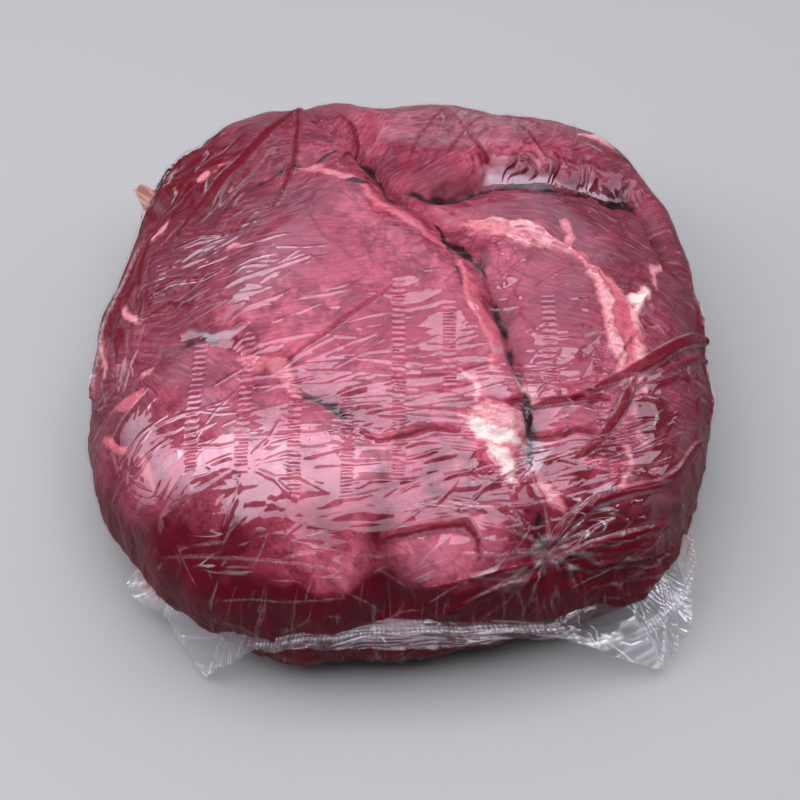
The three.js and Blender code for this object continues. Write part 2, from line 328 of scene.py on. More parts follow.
# %% Clefts
# Depth, reach of the banks, how much higher the left bank is, and the path.
CLEFTS = [
    (12, 7, -1.5, [
        (-38, 96, 0.2), (-28, 83, 0.6), (-22, 79, 1.1), (-17, 73, 1.5), (-12, 64, 1.3),
        (-7, 55, 1.0), (-2, 47, 1.2), (10, 38, 0.4), (17, 30, 0.5), (21, 24, 1.4),
        (27, 19, 3.0), (32, 15, 1.8), (34, 9, 0.6), (36, 2, 0.8), (38, -5, 1.2),
        (40, -12, 1.7), (42, -22, 0.9), (45, -35, 1.3), (48, -45, 1.0), (50, -53, 2.2),
        (51, -60, 2.9), (50, -68, 1.6), (51, -78, 0.3), (52, -88, 0.7), (54, -98, 0.8),
        (56, -108, 1.2), (58, -118, 0.2),
    ]),
    (13, 6, 3.4, [
        (0, 50, 0.6), (8, 49, 1.3), (20, 48.5, 2.4), (26, 50, 1.8), (30, 52, 1.2), (40, 55, 1.5),
        (48, 56, 2.0), (55, 56, 1.6), (64, 56, 2.1), (72, 56, 1.5), (79, 57, 0.9), (86, 57, 0.4),
        (93, 57, 1.4), (100, 59, 2.6), (105, 56, 2.4), (109, 49, 1.0), (114, 39, 1.3),
        (120, 29, 0.9), (128, 18, 0.4),
    ]),
    (8, 6.5, 1.5, [
        (-150, -50, -0.4), (-128, -43, 0.0), (-115, -38, 0.2), (-105, -33, 0.3),
        (-95, -28, 0.4), (-86, -23, 0.7), (-80, -20, 1.9), (-75, -21, 1.5), (-70, -25, 0.4),
        (-62, -30, 0.0), (-50, -41, -0.2), (-41, -47, 0.6), (-36, -50, 1.5), (-30, -53, 1.1),
        (-25, -56, 1.9), (-20, -60, 1.2), (-14, -64, 0.5), (-6, -66, 0.2), (0, -68, -1.0),
        (10, -78, -1.3), (20, -88, -1.6), (29, -92, -3),
    ]),
    (5, 5, 0, [
        (-92, 32, 0.2), (-78, 42, 0.3), (-67, 50, 0.5), (-58, 57, 0.8), (-50, 62, 0.9),
        (-45, 64, 1.0), (-38, 63, 1.0), (-33, 64, 0.8), (-27, 68, 0.4),
    ]),
    (3, 3, 0, [(19, 19, 0.6), (22, 9, 0.9), (25, -2, 0.4)]),
    (3, 3, 0, [(-23, 51, 0.6), (-18, 50.5, 1.2), (-13, 50, 0.5)]),
    (8, 9, 0, [(-16, -104, -4), (-8, -117, -4), (-4, -129, -4), (-8, -148, -4)]),
    (5, 8, 0, [(50, -114, -4), (68, -119, -4), (88, -121, -4), (112, -114, -4), (130, -103, -4)]),
    (4, 5, 0, [(-30, -104, -4), (-20, -115, -4), (-13, -124, -4), (-10, -132, -4)]),
    (5, 8, 0, [(-44, 116, 0.3), (-50, 140, 0.8), (-60, 176, 0.4)]),
    (5, 8, 0, [(60, 112, 0.3), (66, 140, 0.8), (78, 176, 0.4)]),
    (5, 8, 0, [(-106, 96, 0.3), (-132, 106, 0.7), (-152, 112, 0.3)]),
    (4, 8, 0, [(128, 70, 0.3), (150, 84, 0.6), (166, 92, 0.3)]),
]
CLEFT_TAPER = 20.0  # over this length at either end a cleft runs out
BANK_REACH = 16.0
print(len(CLEFTS), "clefts")

# %% Fat
# How white it is from 0 to 1, how far it stands up, and the path. The whitest streaks run
# on the fat's raised tops and are partly painted highlight.
FAT = [
    (0.18, 1.0, [(26, 31, 0.6), (32, 30, 2.6), (40, 28, 4.6), (50, 26, 5.0), (58, 23, 3.6),
                (66, 20, 2.2), (74, 16, 0.8)]),
    (0.55, 1.6, [(27, 33, 0.4), (33, 32, 1.4), (39, 32, 2.4), (44, 30, 1.8), (49, 31, 3.0),
                 (54, 30, 2.6), (58, 26, 1.6), (62, 22, 1.7), (70, 19, 0.5)]),
    (0.45, 1.4, [(42, 23, 0.4), (47, 22, 1.3), (52, 20, 1.0), (57, 21, 1.9), (63, 20, 1.0),
                 (67, 19, 0.5)]),
    (0.25, 0.7, [(66, 35, 0.5), (68, 30, 1.4), (69, 25, 1.6), (70, 20, 0.6)]),
    (0.0, 1.1, [(72, 15, 0.8), (78, 7, 2.4), (84, -2, 4.4), (88, -12, 5.4), (89, -24, 5.2),
                (90, -33, 3.0), (92, -40, 1.0)]),
    (0.35, 1.8, [(72, 16, 0.5), (75, 9, 1.6), (79, 2, 2.0), (82, -5, 2.8), (82, -13, 2.0),
                (84, -21, 3.0), (86, -29, 2.8), (87, -36, 0.8)]),
    (0.32, 1.6, [(75, 13, 0.4), (80, 7, 1.1), (85, 1, 1.7), (90, -5, 2.0), (92, -12, 2.6),
                 (93, -20, 1.7), (95, -27, 2.3), (94, -33, 0.8)]),
    (0.95, 1.8, [(89, -4, 1.0), (94, -2, 2.8), (98, 1, 2.2), (99, 5, 0.5)]),
    (0.85, 1.6, [(93, -9, 1.2), (96, -5, 2.0), (98, 1, 1.0)]),
    (0.65, 0.9, [(87, -37, 0.7), (89, -42, 2.2), (91, -47, 0.7)]),
    (0.35, 0.7, [(94, -35, 0.8), (97, -42, 1.6), (99, -48, 1.4), (101, -53, 0.6)]),
    (0.4, 0.4, [(92, -42, 0.7), (90, -50, 1.1), (92, -57, 0.5)]),
    (0.3, 1.6, [(29, -62, 3.2), (34, -61, 5.4), (41, -62, 6.2), (46, -61, 3.8),
                (49, -60, 1.4)]),
    (0.7, 0.6, [(29, -58, 0.6), (35, -57, 1.7), (42, -58, 1.5), (47, -58, 0.6)]),
    (1.0, 0.8, [(27, -63, 2.0), (31, -65, 4.4), (38, -67, 4.8), (43, -69, 2.2)]),
    (0.85, 1.2, [(35, -73, 1.8), (39, -76, 3.4), (42, -79, 3.4), (44, -84, 2.0)]),
    (0.1, 1.1, [(-62, -32, 1.0), (-56, -34, 2.0), (-49, -38, 2.8), (-43, -43, 2.6),
                 (-38, -49, 1.8)]),
    (0.0, 0.8, [(-122, -44, 1.6), (-114, -44, 3.0), (-106, -46, 3.0), (-101, -44, 1.0)]),
    (0.0, 0.6, [(-120, -58, 1.0), (-115, -62, 1.8), (-110, -66, 1.0)]),
    (0.1, 0.6, [(-101, -69, 0.8), (-98, -75, 1.4), (-94, -82, 0.7)]),
    (0.5, 0.5, [(-102, -34, 0.8), (-99, -34, 1.3), (-97, -35, 0.6)]),
    (0.3, 0.5, [(-42, 62, 0.6), (-36, 60, 1.4), (-30, 57, 1.6), (-22, 53, 1.0), (-18, 50, 0.5)]),
    (0.0, 0.5, [(-16, 48, 0.6), (-10, 43, 1.4), (-4, 37, 1.3), (2, 32, 1.6), (9, 27, 1.7),
                (15, 22, 1.5), (19, 17, 1.0)]),
    (0.0, 0.5, [(24, 10, 0.7), (28, -2, 1.6), (31, -12, 3.0), (35, -22, 3.4), (39, -32, 2.4),
                (37, -40, 0.6)]),
    (0.25, 0.8, [(-87, 62, 1.2), (-81, 64, 3.4), (-75, 66, 2.6), (-70, 68, 0.9)]),
    (0.45, 0.5, [(-104, 37, 0.8), (-100, 39, 1.8), (-97, 43, 0.7)]),
    (0.5, 0.4, [(-68, 20, 0.6), (-65, 21, 1.3), (-63, 22, 0.5)]),
    (0.6, 0.5, [(46, -41, 0.6), (49, -46, 1.4), (53, -52, 0.8)]),
    (0.6, 0.5, [(22, -40, 0.5), (26, -43, 0.9), (29, -46, 1.2), (30, -51, 1.3), (29, -54, 0.6)]),
    (0.35, 0.5, [(53, -86, 1.0), (58, -90, 2.4), (62, -93, 1.6)]),
    (0.35, 0.5, [(86, -69, 0.8), (88, -78, 1.5), (85, -85, 0.8)]),
    (0.3, 0.4, [(92, -63, 0.6), (97, -68, 1.2), (99, -78, 0.6)]),
    (0.45, 0.5, [(104, 7, 0.5), (105, 13, 1.3), (106, 19, 2.1), (111, 23, 1.0)]),
    (0.45, 0.6, [(78, 88, 1.0), (86, 90, 3.0), (92, 87, 1.5)]),
    (0.4, 0.6, [(-128, -8, 1.0), (-124, -18, 1.8), (-122, -28, 0.8)]),
    (0.45, 0.6, [(-118, 10, 0.7), (-112, 0, 1.4), (-106, -8, 0.7)]),
    (0.6, 1.0, [(-20, 158, 2.0), (8, 150, 6.0), (30, 156, 5.0), (52, 150, 1.5)]),
    (0.5, 0.9, [(150, 40, 2.0), (158, 22, 5.0), (160, 2, 2.0)]),
    (0.5, 0.9, [(-150, 66, 1.5), (-160, 48, 4.5), (-158, 26, 1.5)]),
]
print(len(FAT), "streaks of fat")

# %% [markdown]
# ## Where the film folds
# A vacuum draws the bag down faster than it can shrink, so the spare film stands up in
# folds, and juice fills the larger ones, which then look like dark cords. Those are listed
# one by one. Of the finer folds only the kind, direction and place are listed, and waves or
# random numbers with a fixed seed make the folds themselves.

# %% Folds of film that hold juice
# Height of the fold, and the path.
JUICE_FOLDS = [
    (1.6, [(-44, 108, 1.0), (-49, 94, 2.4), (-57, 79, 2.7), (-67, 65, 2.8), (-76, 51, 2.5),
           (-86, 40, 2.0), (-93, 31, 0.9)]),
    (1.2, [(-44, 104, 0.5), (-43, 88, 1.0), (-43, 70, 1.2), (-46, 52, 1.0), (-50, 40, 0.4)]),
    (1.0, [(-92, 26, 0.6), (-80, 29, 1.5), (-70, 27, 0.6)]),
    (1.0, [(-102, 4, 0.6), (-90, 8, 1.6), (-78, 6, 1.0), (-70, 8, 0.4)]),
    (1.0, [(-104, -6, 0.5), (-92, -3, 1.5), (-80, -8, 0.5)]),
    (2.6, [(-106, 48, 0.8), (-115, 30, 2.6), (-123, 14, 3.2), (-129, -4, 3.2),
           (-131, -20, 2.6), (-132, -34, 0.8)]),
    (2.0, [(150, 8, 0.4), (138, -2, 1.5), (124, -10, 2.6), (110, -20, 2.3), (100, -29, 2.8),
           (90, -37, 2.5), (80, -43, 1.5), (66, -51, 0.6)]),
    (0.8, [(20, 101, 0.3), (14, 88, 0.9), (8, 76, 1.0), (4, 64, 0.4)]),
    (0.8, [(21, 100, 0.3), (26, 86, 0.9), (32, 70, 1.0), (36, 62, 0.4)]),
    (0.9, [(46, 108, 0.3), (50, 90, 1.0), (56, 74, 1.1), (60, 64, 0.4)]),
    (0.8, [(48, 106, 0.3), (60, 92, 0.8), (74, 82, 0.9), (86, 76, 0.3)]),
    (0.8, [(38, 96, 0.3), (30, 84, 0.8), (22, 70, 0.8), (18, 62, 0.3)]),
    (1.0, [(-26, 100, 0.3), (-20, 88, 1.1), (-17, 78, 1.0), (-22, 66, 0.9), (-25, 60, 0.3)]),
    (1.6, [(128, 30, 0.8), (134, 14, 1.8), (140, -4, 1.2), (136, -24, 2.0), (134, -44, 0.8)]),
    (1.4, [(112, -96, 0.6), (98, -99, 1.5), (84, -104, 1.6), (70, -109, 1.5), (60, -114, 0.6)]),
    (1.2, [(118, -108, 0.6), (100, -111, 1.3), (80, -115, 1.2), (64, -117, 0.5)]),
    (1.2, [(58, -118, 0.6), (44, -122, 1.6), (30, -128, 1.4), (18, -133, 0.5)]),
    (1.0, [(56, -114, 0.6), (40, -117, 1.2), (24, -121, 1.0), (10, -124, 0.4)]),
    (1.0, [(58, -120, 0.6), (62, -130, 1.5), (70, -140, 1.2), (76, -148, 0.5)]),
    (1.4, [(140, -12, 0.8), (126, -18, 1.3), (112, -28, 1.0), (104, -34, 0.4)]),
    (1.6, [(92, -38, 0.6), (88, -46, 1.5), (84, -56, 1.8), (80, -62, 1.8), (74, -70, 1.0),
           (69, -74, 0.4)]),
    (1.6, [(40, -55, 0.4), (46, -52, 1.0), (51, -54, 1.5), (60, -53, 1.7), (70, -51, 1.5),
           (80, -50, 0.6)]),
    (1.2, [(50, -67, 0.5), (58, -67, 1.2), (66, -65, 1.1), (75, -66, 0.4)]),
    (2.0, [(-6, -107, 0.6), (0, -105, 1.8), (10, -103, 1.6), (18, -102, 1.4), (25, -101, 2.0),
           (29, -106, 1.4), (30, -112, 0.5)]),
    (2.0, [(132, -53, 0.7), (122, -60, 1.6), (115, -68, 1.8), (108, -76, 1.7),
           (100, -82, 1.6), (85, -87, 1.5), (75, -91, 1.7), (65, -99, 1.6), (58, -108, 0.8)]),
    (1.1, [(-14, -67, 0.4), (-8, -70, 1.1), (2, -68, 1.3), (12, -66, 0.8), (22, -67, 0.4)]),
    (0.5, [(-45, -40, 0.3), (-32, -29, 0.8), (-16, -15, 0.7), (-3, -4, 0.3)]),
]
print(len(JUICE_FOLDS), "folds of juice")

# %% Places where juice has gathered, and dull places of the lean, with painted shade and light
# Middle, reach, and how much. Below nought there is less juice, and the lean is paler.
PURGE_SPOTS = [
    (94, -108, 46, 22, 0.9), (-7, -120, 8, 26, 0.6), (-112, -62, 14, 22, 0.5),
    (16, -112, 30, 11, -1.1), (-34, -112, 22, 10, -0.3), (-36, -134, 60, 10, 0.3),
    (-24, -122, 18, 8, -0.35),
    (-82, -100, 26, 10, 0.35), (-30, -138, 70, 12, 0.4), (60, -132, 60, 12, 0.4),
    (-122, 20, 8, 44, 0.5), (-90, 62, 30, 28, 0.62), (132, -10, 14, 60, 0.5),
]
# Dull places: the lean's own duller brown, and painted shade at the sides and the back. Below
# nought the lean is paler: painted light on the front lobes, and the lean's own pale nodule at the
# back.
DULL_SHADE_AND_PALE_SPOTS = [
    (50, 88, 76, 30, 0.4), (-84, 58, 50, 44, 0.9), (104, 24, 32, 42, 0.9),
    (-112, 0, 26, 60, 0.6), (96, 78, 26, 22, 0.3), (14, -112, 24, 10, -0.55),
    (-24, -122, 20, 9, -0.4), (-28, -78, 36, 18, -0.3), (-80, -72, 24, 18, -0.3),
    (-40, 104, 60, 24, 0.5), (120, -50, 30, 50, 0.85), (66, 42, 34, 14, 0.8), (8, 60, 20, 16, 0.5),
    (-54, 46, 26, 14, 0.35), (-10, -62, 34, 9, 0.3), (-10, 92, 12, 16, -0.7),
    (-86, 2, 30, 44, 0.55), (66, -4, 26, 40, 0.35), (-80, -50, 30, 20, 0.25),
]
print(len(PURGE_SPOTS), "places of juice and", len(DULL_SHADE_AND_PALE_SPOTS), "dull or pale places")

# %% Thin creases of taut film
# Height, and the path.
TAUT = [
    (0.45, [(-70, -2, 0.8), (-50, 6, 1.2), (-35, 12, 1.2), (-27, 6, 0.9)]),
    (0.85, [(-25, -53, 1.4), (0, -47, 2.6), (22, -43, 2.2), (41, -38, 1.1)]),
    (0.8, [(-4, -58, 1.2), (16, -52, 2.4), (36, -45, 1.2)]),
    (0.45, [(-66, -43, 0.9), (-30, -43, 1.2), (2, -45, 0.9)]),
    (0.4, [(-60, -48, 0.8), (-20, -48, 1.0), (12, -50, 0.8)]),
    (0.4, [(-40, -57, 0.9), (-8, -57, 1.2), (26, -60, 0.9)]),
    (0.5, [(-10, -60, 0.9), (10, -62, 1.3), (28, -63, 0.9)]),
    (0.5, [(-97, -109, 0.8), (-60, -113, 1.2), (-18, -119, 0.8)]),
    (0.45, [(-74, -127, 0.8), (-45, -129, 1.1), (-16, -127, 0.8)]),
    (0.5, [(-74, -80, 0.8), (-62, -77, 1.4), (-57, -80, 1.0)]),
    (0.5, [(-57, -80, 1.0), (-48, -70, 1.4), (-44, -62, 0.8)]),
    (0.6, [(-57, -80, 1.0), (-46, -86, 1.5), (-36, -96, 0.9)]),
    (0.6, [(-57, -80, 1.0), (-60, -92, 1.5), (-66, -104, 0.9)]),
    (0.5, [(-57, -80, 1.0), (-72, -88, 1.4), (-90, -92, 0.8)]),
    (0.4, [(-33, -38, 0.8), (-18, -30, 1.0), (-4, -24, 0.8)]),
    (0.4, [(-52, -46, 0.8), (-40, -37, 1.1), (-22, -26, 0.8)]),
    (0.4, [(-20, -36, 0.8), (-2, -33, 1.0), (16, -27, 0.8)]),
    (0.5, [(54, -84, 0.8), (72, -80, 1.2), (96, -70, 0.8)]),
    (0.5, [(56, -92, 0.8), (76, -84, 1.2), (100, -74, 0.8)]),
    (0.5, [(60, -70, 0.8), (78, -70, 1.2), (96, -63, 0.8)]),
    (0.6, [(20, -112, 0.8), (38, -111, 1.4), (56, -110, 0.9)]),
    (0.6, [(22, -118, 0.8), (40, -120, 1.3), (56, -114, 0.9)]),
    (0.5, [(-62, 88, 0.8), (-84, 64, 1.3), (-102, 38, 0.9)]),
    (0.5, [(-40, 80, 0.8), (-58, 58, 1.1), (-72, 40, 0.9)]),
    (0.4, [(-40, 96, 0.8), (-42, 74, 1.1), (-50, 52, 0.8)]),
]
print(len(TAUT), "creases laid down one by one")

# %% Scattered short creases
# Middle, reach, direction and its spread in degrees, how many, mean length and height, seed.
SCATTERED = [
    (0, -46, 60, 26, 4, 7, 34, 30, 0.36, 201), (-70, 8, 38, 34, 20, 9, 44, 17, 0.34, 202),
    (82, -68, 36, 36, 20, 14, 40, 20, 0.42, 203), (96, -112, 34, 14, 20, 12, 22, 26, 0.8, 204),
    (20, 0, 60, 44, 12, 16, 26, 14, 0.22, 205), (-60, -100, 44, 26, 10, 60, 22, 16, 0.34, 206),
    (-92, 64, 30, 26, 50, 24, 34, 18, 0.5, 207), (44, 84, 60, 22, 76, 16, 20, 26, 0.4, 208),
    (-118, 0, 14, 50, 80, 20, 26, 26, 0.5, 209), (-30, -132, 80, 14, 20, 30, 26, 16, 0.4, 210),
    (-20, -152, 90, 12, 84, 20, 34, 12, 0.5, 211), (120, 20, 20, 50, 80, 24, 20, 22, 0.45, 212),
    (30, -98, 50, 14, 10, 30, 22, 16, 0.4, 213), (0, -76, 64, 18, 6, 9, 44, 26, 0.42, 214),
    (-78, -60, 30, 20, 24, 20, 14, 22, 0.35, 215), (60, 30, 50, 40, 10, 30, 24, 12, 0.2, 216),
    (-100, 74, 20, 20, 44, 36, 26, 18, 1.0, 217),
]
print(sum(row[6] for row in SCATTERED), "short creases in", len(SCATTERED), "patches")

# %% Patches of crumpled and of rippled film
# Middle, reach, direction in degrees, width and length of one fold, its height, and a seed.
# Crumples are sharp, and ripples are rounded waves, whose flanks give short bright dashes.
CRUMPLES = [
    (-75, 62, 40, 34, 52, 5.5, 34, 0.45, 11), (-72, 4, 36, 22, 18, 5.5, 24, 0.34, 12),
    (-116, 12, 16, 52, 82, 7.0, 44, 0.8, 13), (-25, -14, 50, 28, 22, 7.5, 22, 0.2, 14),
    (0, -52, 62, 17, 4, 6.5, 60, 0.3, 15), (-66, -82, 48, 26, 34, 13.0, 30, 0.28, 16),
    (104, -46, 36, 36, 36, 8.0, 50, 0.55, 17), (94, -112, 42, 16, 20, 6.0, 42, 1.4, 18),
    (45, 88, 62, 26, 96, 17.0, 60, 0.45, 19), (-20, -136, 96, 8, 98, 6.5, 17, 0.6, 20),
    (-20, -170, 84, 18, 84, 7.0, 24, 0.9, 21), (-104, 76, 26, 26, 40, 6.0, 16, 2.1, 27),
    (60, 62, 34, 6, 95, 5.0, 12, 1.2, 22), (110, -62, 30, 44, 60, 9.0, 40, 0.7, 28),
    (140, 20, 16, 52, 84, 8.0, 44, 0.9, 23), (14, -88, 50, 22, 8, 8.0, 36, 0.6, 24),
    (72, -76, 28, 18, 24, 6.5, 30, 0.5, 25), (60, 10, 40, 36, 75, 9.0, 24, 0.14, 26),
]
RIPPLES = [
    (-66, 10, 42, 28, 20, 5.6, 15, 0.42, 101), (-20, -12, 52, 32, 12, 5.2, 13, 0.24, 102),
    (6, -47, 64, 18, 4, 3.6, 18, 0.2, 103), (-64, -74, 60, 34, 34, 9.0, 22, 0.2, 104),
    (80, -70, 44, 40, 22, 5.6, 22, 0.34, 105), (60, 0, 60, 50, 10, 5.4, 13, 0.17, 106),
    (40, 84, 70, 34, 70, 8.0, 22, 0.22, 107), (-70, 60, 50, 40, 50, 6.0, 18, 0.3, 108),
    (12, -84, 60, 24, 6, 5.6, 26, 0.5, 109), (104, 20, 24, 60, 80, 7.0, 22, 0.3, 110),
    (50, 74, 50, 14, 80, 6.0, 14, 0.4, 111), (4, -78, 60, 18, 5, 3.1, 15, 0.34, 112),
    (90, -104, 36, 18, 24, 3.2, 16, 0.3, 113), (-16, -102, 44, 10, 4, 3.4, 13, 0.45, 114),
]
print(len(CRUMPLES), "patches of crumples and", len(RIPPLES), "of ripples")

# %% Rays and fine lines
# Stars, which rays run out from: middle, reach, creases in a full turn, height, seed.
STARS = [(58, -110, 26, 17, 0.8, 31), (-54, -86, 20, 8, 0.22, 32), (-104, 66, 26, 16, 0.5, 33)]
# Patches of fine lines: middle, reach, direction in degrees, and strength.
LINED = [
    (0, -48, 60, 20, 3, 0.35), (-65, 8, 34, 26, 20, 0.5), (-60, -112, 46, 12, -3, 0.8),
    (34, -120, 34, 10, 24, 0.8), (92, -108, 36, 22, 18, 1.0), (92, -60, 32, 22, 24, 0.6),
    (-90, 62, 34, 30, 50, 0.6), (40, 90, 60, 24, 70, 0.4), (0, 20, 50, 30, 8, 0.12),
    (-70, -70, 36, 24, 30, 0.35), (20, -92, 40, 16, 8, 0.4),
]
LINE_LENGTH = 40.0
LINE_SPACING = 8.0
print(len(STARS), "stars and", len(LINED), "patches of fine lines")

# %% Air under the film, and milky places of it
# Middle, reach, and how many more or fewer faces mirror, or how milky the film is.
AIR_SPOTS = [
    (-53, -81, 14, 18, 0.8), (-84, -68, 24, 20, 1.2), (-70, -24, 7, 2.2, 0.8),
    (-74, -18.5, 17, 3.8, -1.0), (-26, -76, 22, 14, 0.6), (86, -12, 12, 26, -0.6),
    (38, -65, 13, 12, -0.7), (50, 84, 56, 18, -0.25), (8, 58, 29, 17, -1.2),
    (58, 53, 22, 3.6, 1.1), (64, 64, 36, 6.5, -0.6), (-62, 12, 34, 20, 0.7),
    (8, -48, 38, 9, 0.25), (84, 55, 7, 4, 1.2), (92, -100, 34, 16, 0.7),
    (112, 44, 14, 24, -0.6), (51, -73, 6, 9, 1.2), (84, -91, 18, 7, 0.7),
    (110, -100, 14, 6, 0.8), (28, -110, 22, 5, 0.6), (-84, -6, 20, 10, -0.5),
    (-40, -14, 26, 12, 0.2), (96, -72, 10, 8, 0.5), (32, 25, 14, 9, -0.9),
    (-80, -11, 22, 9, -0.8), (-90, 62, 40, 34, -0.95), (-44, 84, 26, 22, -0.5),
    (104, 6, 22, 40, -0.6),
]
MILKY_SPOTS = [
    (51, -74, 5, 7, 0.14), (58, -110, 8, 6, 0.08), (24, 84, 34, 16, 0.06), (66, 86, 30, 12, 0.03),
]
print(len(AIR_SPOTS), "places with more or less air,", len(MILKY_SPOTS), "milky places")

# %% [markdown]
# ## The relief
# Meat and film share the lobes. The meat then drops deep into its clefts, while the film
# bridges them and sinks about a third as far. On top of that the film has its own folds.
# Where the meat would poke through, the film is lifted to lie just over it.


# %% Relief that meat and film share
def lobes_and_swells(p, q):
    """Each lobe is height * exp(-(dp / reach)^2 - (dq / reach)^2), each swell a sine product."""
    height = soft_spots(p, q, LOBES)
    for long_p, long_q, lift, phase in SWELLS:
        along_p = np.sin(2 * np.pi * p / long_p + phase)
        height += lift * along_p * np.cos(2 * np.pi * q / long_q - phase)
    return height


def cleft_relief(p, q, depth_share, spread, slot_share):
    """Each cleft sinks as exp(-(off / reach)^2), with a slot of its own width in the middle."""
    height = np.zeros_like(p)
    for depth, reach, bank, path in CLEFTS:
        chosen, off, side, width, to_end = near_path(path, p, q, 3.0 * BANK_REACH)
        strength = smooth(0.0, CLEFT_TAPER, to_end)
        valley = np.exp(-((off / (reach * spread)) ** 2))
        slot = np.exp(-((off / (width + 0.8)) ** 2))
        open_share = slot_share * smooth(0.3, 1.4, width)
        sunk = depth_share * depth * ((1 - slot_share) * valley + open_share * slot)
        step = bank * side * np.exp(-off / BANK_REACH) * (1 - np.exp(-off / reach))
        height[chosen] += strength * (step - sunk)
    return height


def foot_fade(p, q):
    """1 over the block, fading to 0 at the flat spot underneath."""
    return smooth(0.0, SKIN_FADE, SKIN_LENGTH - nominal_length(p, q))


crown = lobes_and_swells(np.array([0.0]), np.array([0.0]))
print("the lobes lift the middle of the top by", round(float(crown[0]), 1), "mm")


# %% The meat's relief
def uneven(p, q, small, large):
    """Map places pushed about by waves 5 and 15 mm long, so that edges wander as cut meat's."""
    push_p = large * waves(p / 15, q / 15, 1) + small * waves(p / 5, q / 5, 2)
    push_q = large * waves(p / 15, q / 15, 3) + small * waves(p / 5, q / 5, 4)
    return p + push_p, q + push_q


def meat_relief(p, q, filled):
    """Lobes, deep clefts with a slot, fat standing up, and the juice that fills the folds."""
    height = lobes_and_swells(p, q)
    pushed_p, pushed_q = uneven(p, q, *CUT_EDGES)
    height += cleft_relief(pushed_p, pushed_q, depth_share=0.85, spread=0.85, slot_share=0.45)
    for lift, long, seed in ((0.5, 17, 5), (0.3, 7, 6), (0.12, 2.6, 7)):
        height += lift * waves(p / long, q / long, seed)
    height += FOLD_FILLED * filled
    pushed_p, pushed_q = uneven(p, q, *FAT_EDGES)
    for _, lift, path in FAT:
        chosen, off, _, width, _ = near_path(path, pushed_p, pushed_q, 10.0)
        inside = smooth(-0.8, 1.6, width - off)
        lumps = 0.75 + 0.6 * waves(p[chosen] / 5.5, q[chosen] / 3.2, 8)
        height[chosen] += lift * inside * lumps
    return height * foot_fade(p, q) - MEAT_DEPTH


CUT_EDGES = (0.6, 1.4)
FAT_EDGES = (1.5, 2.2)
MEAT_DEPTH = 0.9  # how far the meat lies under the film
FOLD_FILLED = 0.85  # share of a fold's height that the juice in it fills
print("the meat lies", MEAT_DEPTH, "mm under the film, and juice fills", FOLD_FILLED, "of a fold")

# %% [markdown]
# ## The film's folds
# Shrunk film doesn't wrinkle in one way. Where it is loose it crumples into sharp creases,
# where it is tight over something soft it ripples, and from a point that holds it creases
# run out like rays. Each kind is a kind of wave, stretched along the way the film was drawn
# and laid down where the list of its patches says.


# %% Crumples and ripples
def crumple(along, across, long, wide, seed):
    """Creased waves, bent by smooth waves as long as the creases."""
    bend = 1.6 * waves(along / long, across / long, seed + 40)
    return creased(along / long, across / wide + bend, seed)


def ripple(along, across, long, wide, seed):
    """Rounded waves, as they are."""
    return waves(along / long, across / wide, seed)


def patches(p, q, rows, wave):
    """The sum of a list's patches: height * soft spot * the wave, along the patch's direction."""
    height = np.zeros_like(p)
    for *place, degrees, wide, long, lift, seed in rows:
        height += lift * soft_spot(p, q, *place) * wave(*turned(p, q, degrees), long, wide, seed)
    return height


trial_height = patches(np.zeros(1), np.zeros(1), CRUMPLES, crumple)
print("crumples lift the middle of the top by", round(float(trial_height[0]), 2), "mm")


# %% Rays, and gathers down the sides
def star_relief(p, q):
    """Creased waves of the angle about a point, so that each crease runs away from it."""
    height = np.zeros_like(p)
    for at_p, at_q, reach, count, lift, seed in STARS:
        away = np.hypot(p - at_p, q - at_q)
        turn = np.arctan2(q - at_q, p - at_p) / (2 * np.pi)
        rays = creased(turn * count, away / reach, seed)
        height += lift * np.exp(-((away / reach) ** 2)) * smooth(1.0, 7.0, away) * rays
    return height


def round_the_pack(p, q):
    """Length round the sides from the right, for a pack of radius SIDE_RADIUS."""
    return abs(np.arctan2(q, p)) * SIDE_RADIUS


def side_gathers(p, q):
    """Down the sides the film is gathered: creases that run straight down, of two widths."""
    round_it, down = round_the_pack(p, q), np.hypot(p, q)
    gathers = creased(round_it / 11.0, down / 60.0, 51)
    small = creased(round_it / 5.0, down / 26.0, 52)
    return smooth(128.0, 160.0, down) * (0.7 * gathers + 0.35 * small)


SIDE_RADIUS = 132.0
print("the sides are", round(2 * math.pi * SIDE_RADIUS), "mm round")


# %% Taut creases, each one by itself
def scattered_creases():
    """Creases thrown over each patch of SCATTERED, each one bent a little in its middle."""
    creases = []
    for at_p, at_q, reach_p, reach_q, degrees, spread, count, long, lift, seed in SCATTERED:
        random = np.random.default_rng(seed)
        for _ in range(count):
            p = at_p + reach_p * random.normal() * 0.6
            q = at_q + reach_q * random.normal() * 0.6
            turn = math.radians(degrees + spread * random.normal())
            half = 0.5 * long * random.uniform(0.5, 1.7)
            bend = half * random.uniform(-0.16, 0.16)
            width = random.uniform(0.7, 1.3)
            middle = np.array([p, q])
            along = np.array([math.cos(turn), math.sin(turn)])
            across = np.array([-along[1], along[0]])
            path = [
                (*(middle - half * along), 0.5 * width),
                (*(middle + bend * across), width),
                (*(middle + half * along), 0.5 * width),
            ]
            creases.append((lift * random.uniform(0.6, 1.5), path))
    return creases


def taut_creases(p, q):
    """The thin creases, as the share 1 - off / width of each one's height, and the height."""
    share, height = np.zeros_like(p), np.zeros_like(p)
    for lift, path in CREASES:
        chosen, off, _, width, to_end = near_path(path, p, q, 3.0)
        here = smooth(0, 7, to_end) * np.maximum(1 - off / width, 0.0)
        share[chosen] = np.maximum(share[chosen], here)
        height[chosen] = np.maximum(height[chosen], lift * here)
    return share, height


CREASES = TAUT + scattered_creases()
print(len(CREASES), "taut creases")


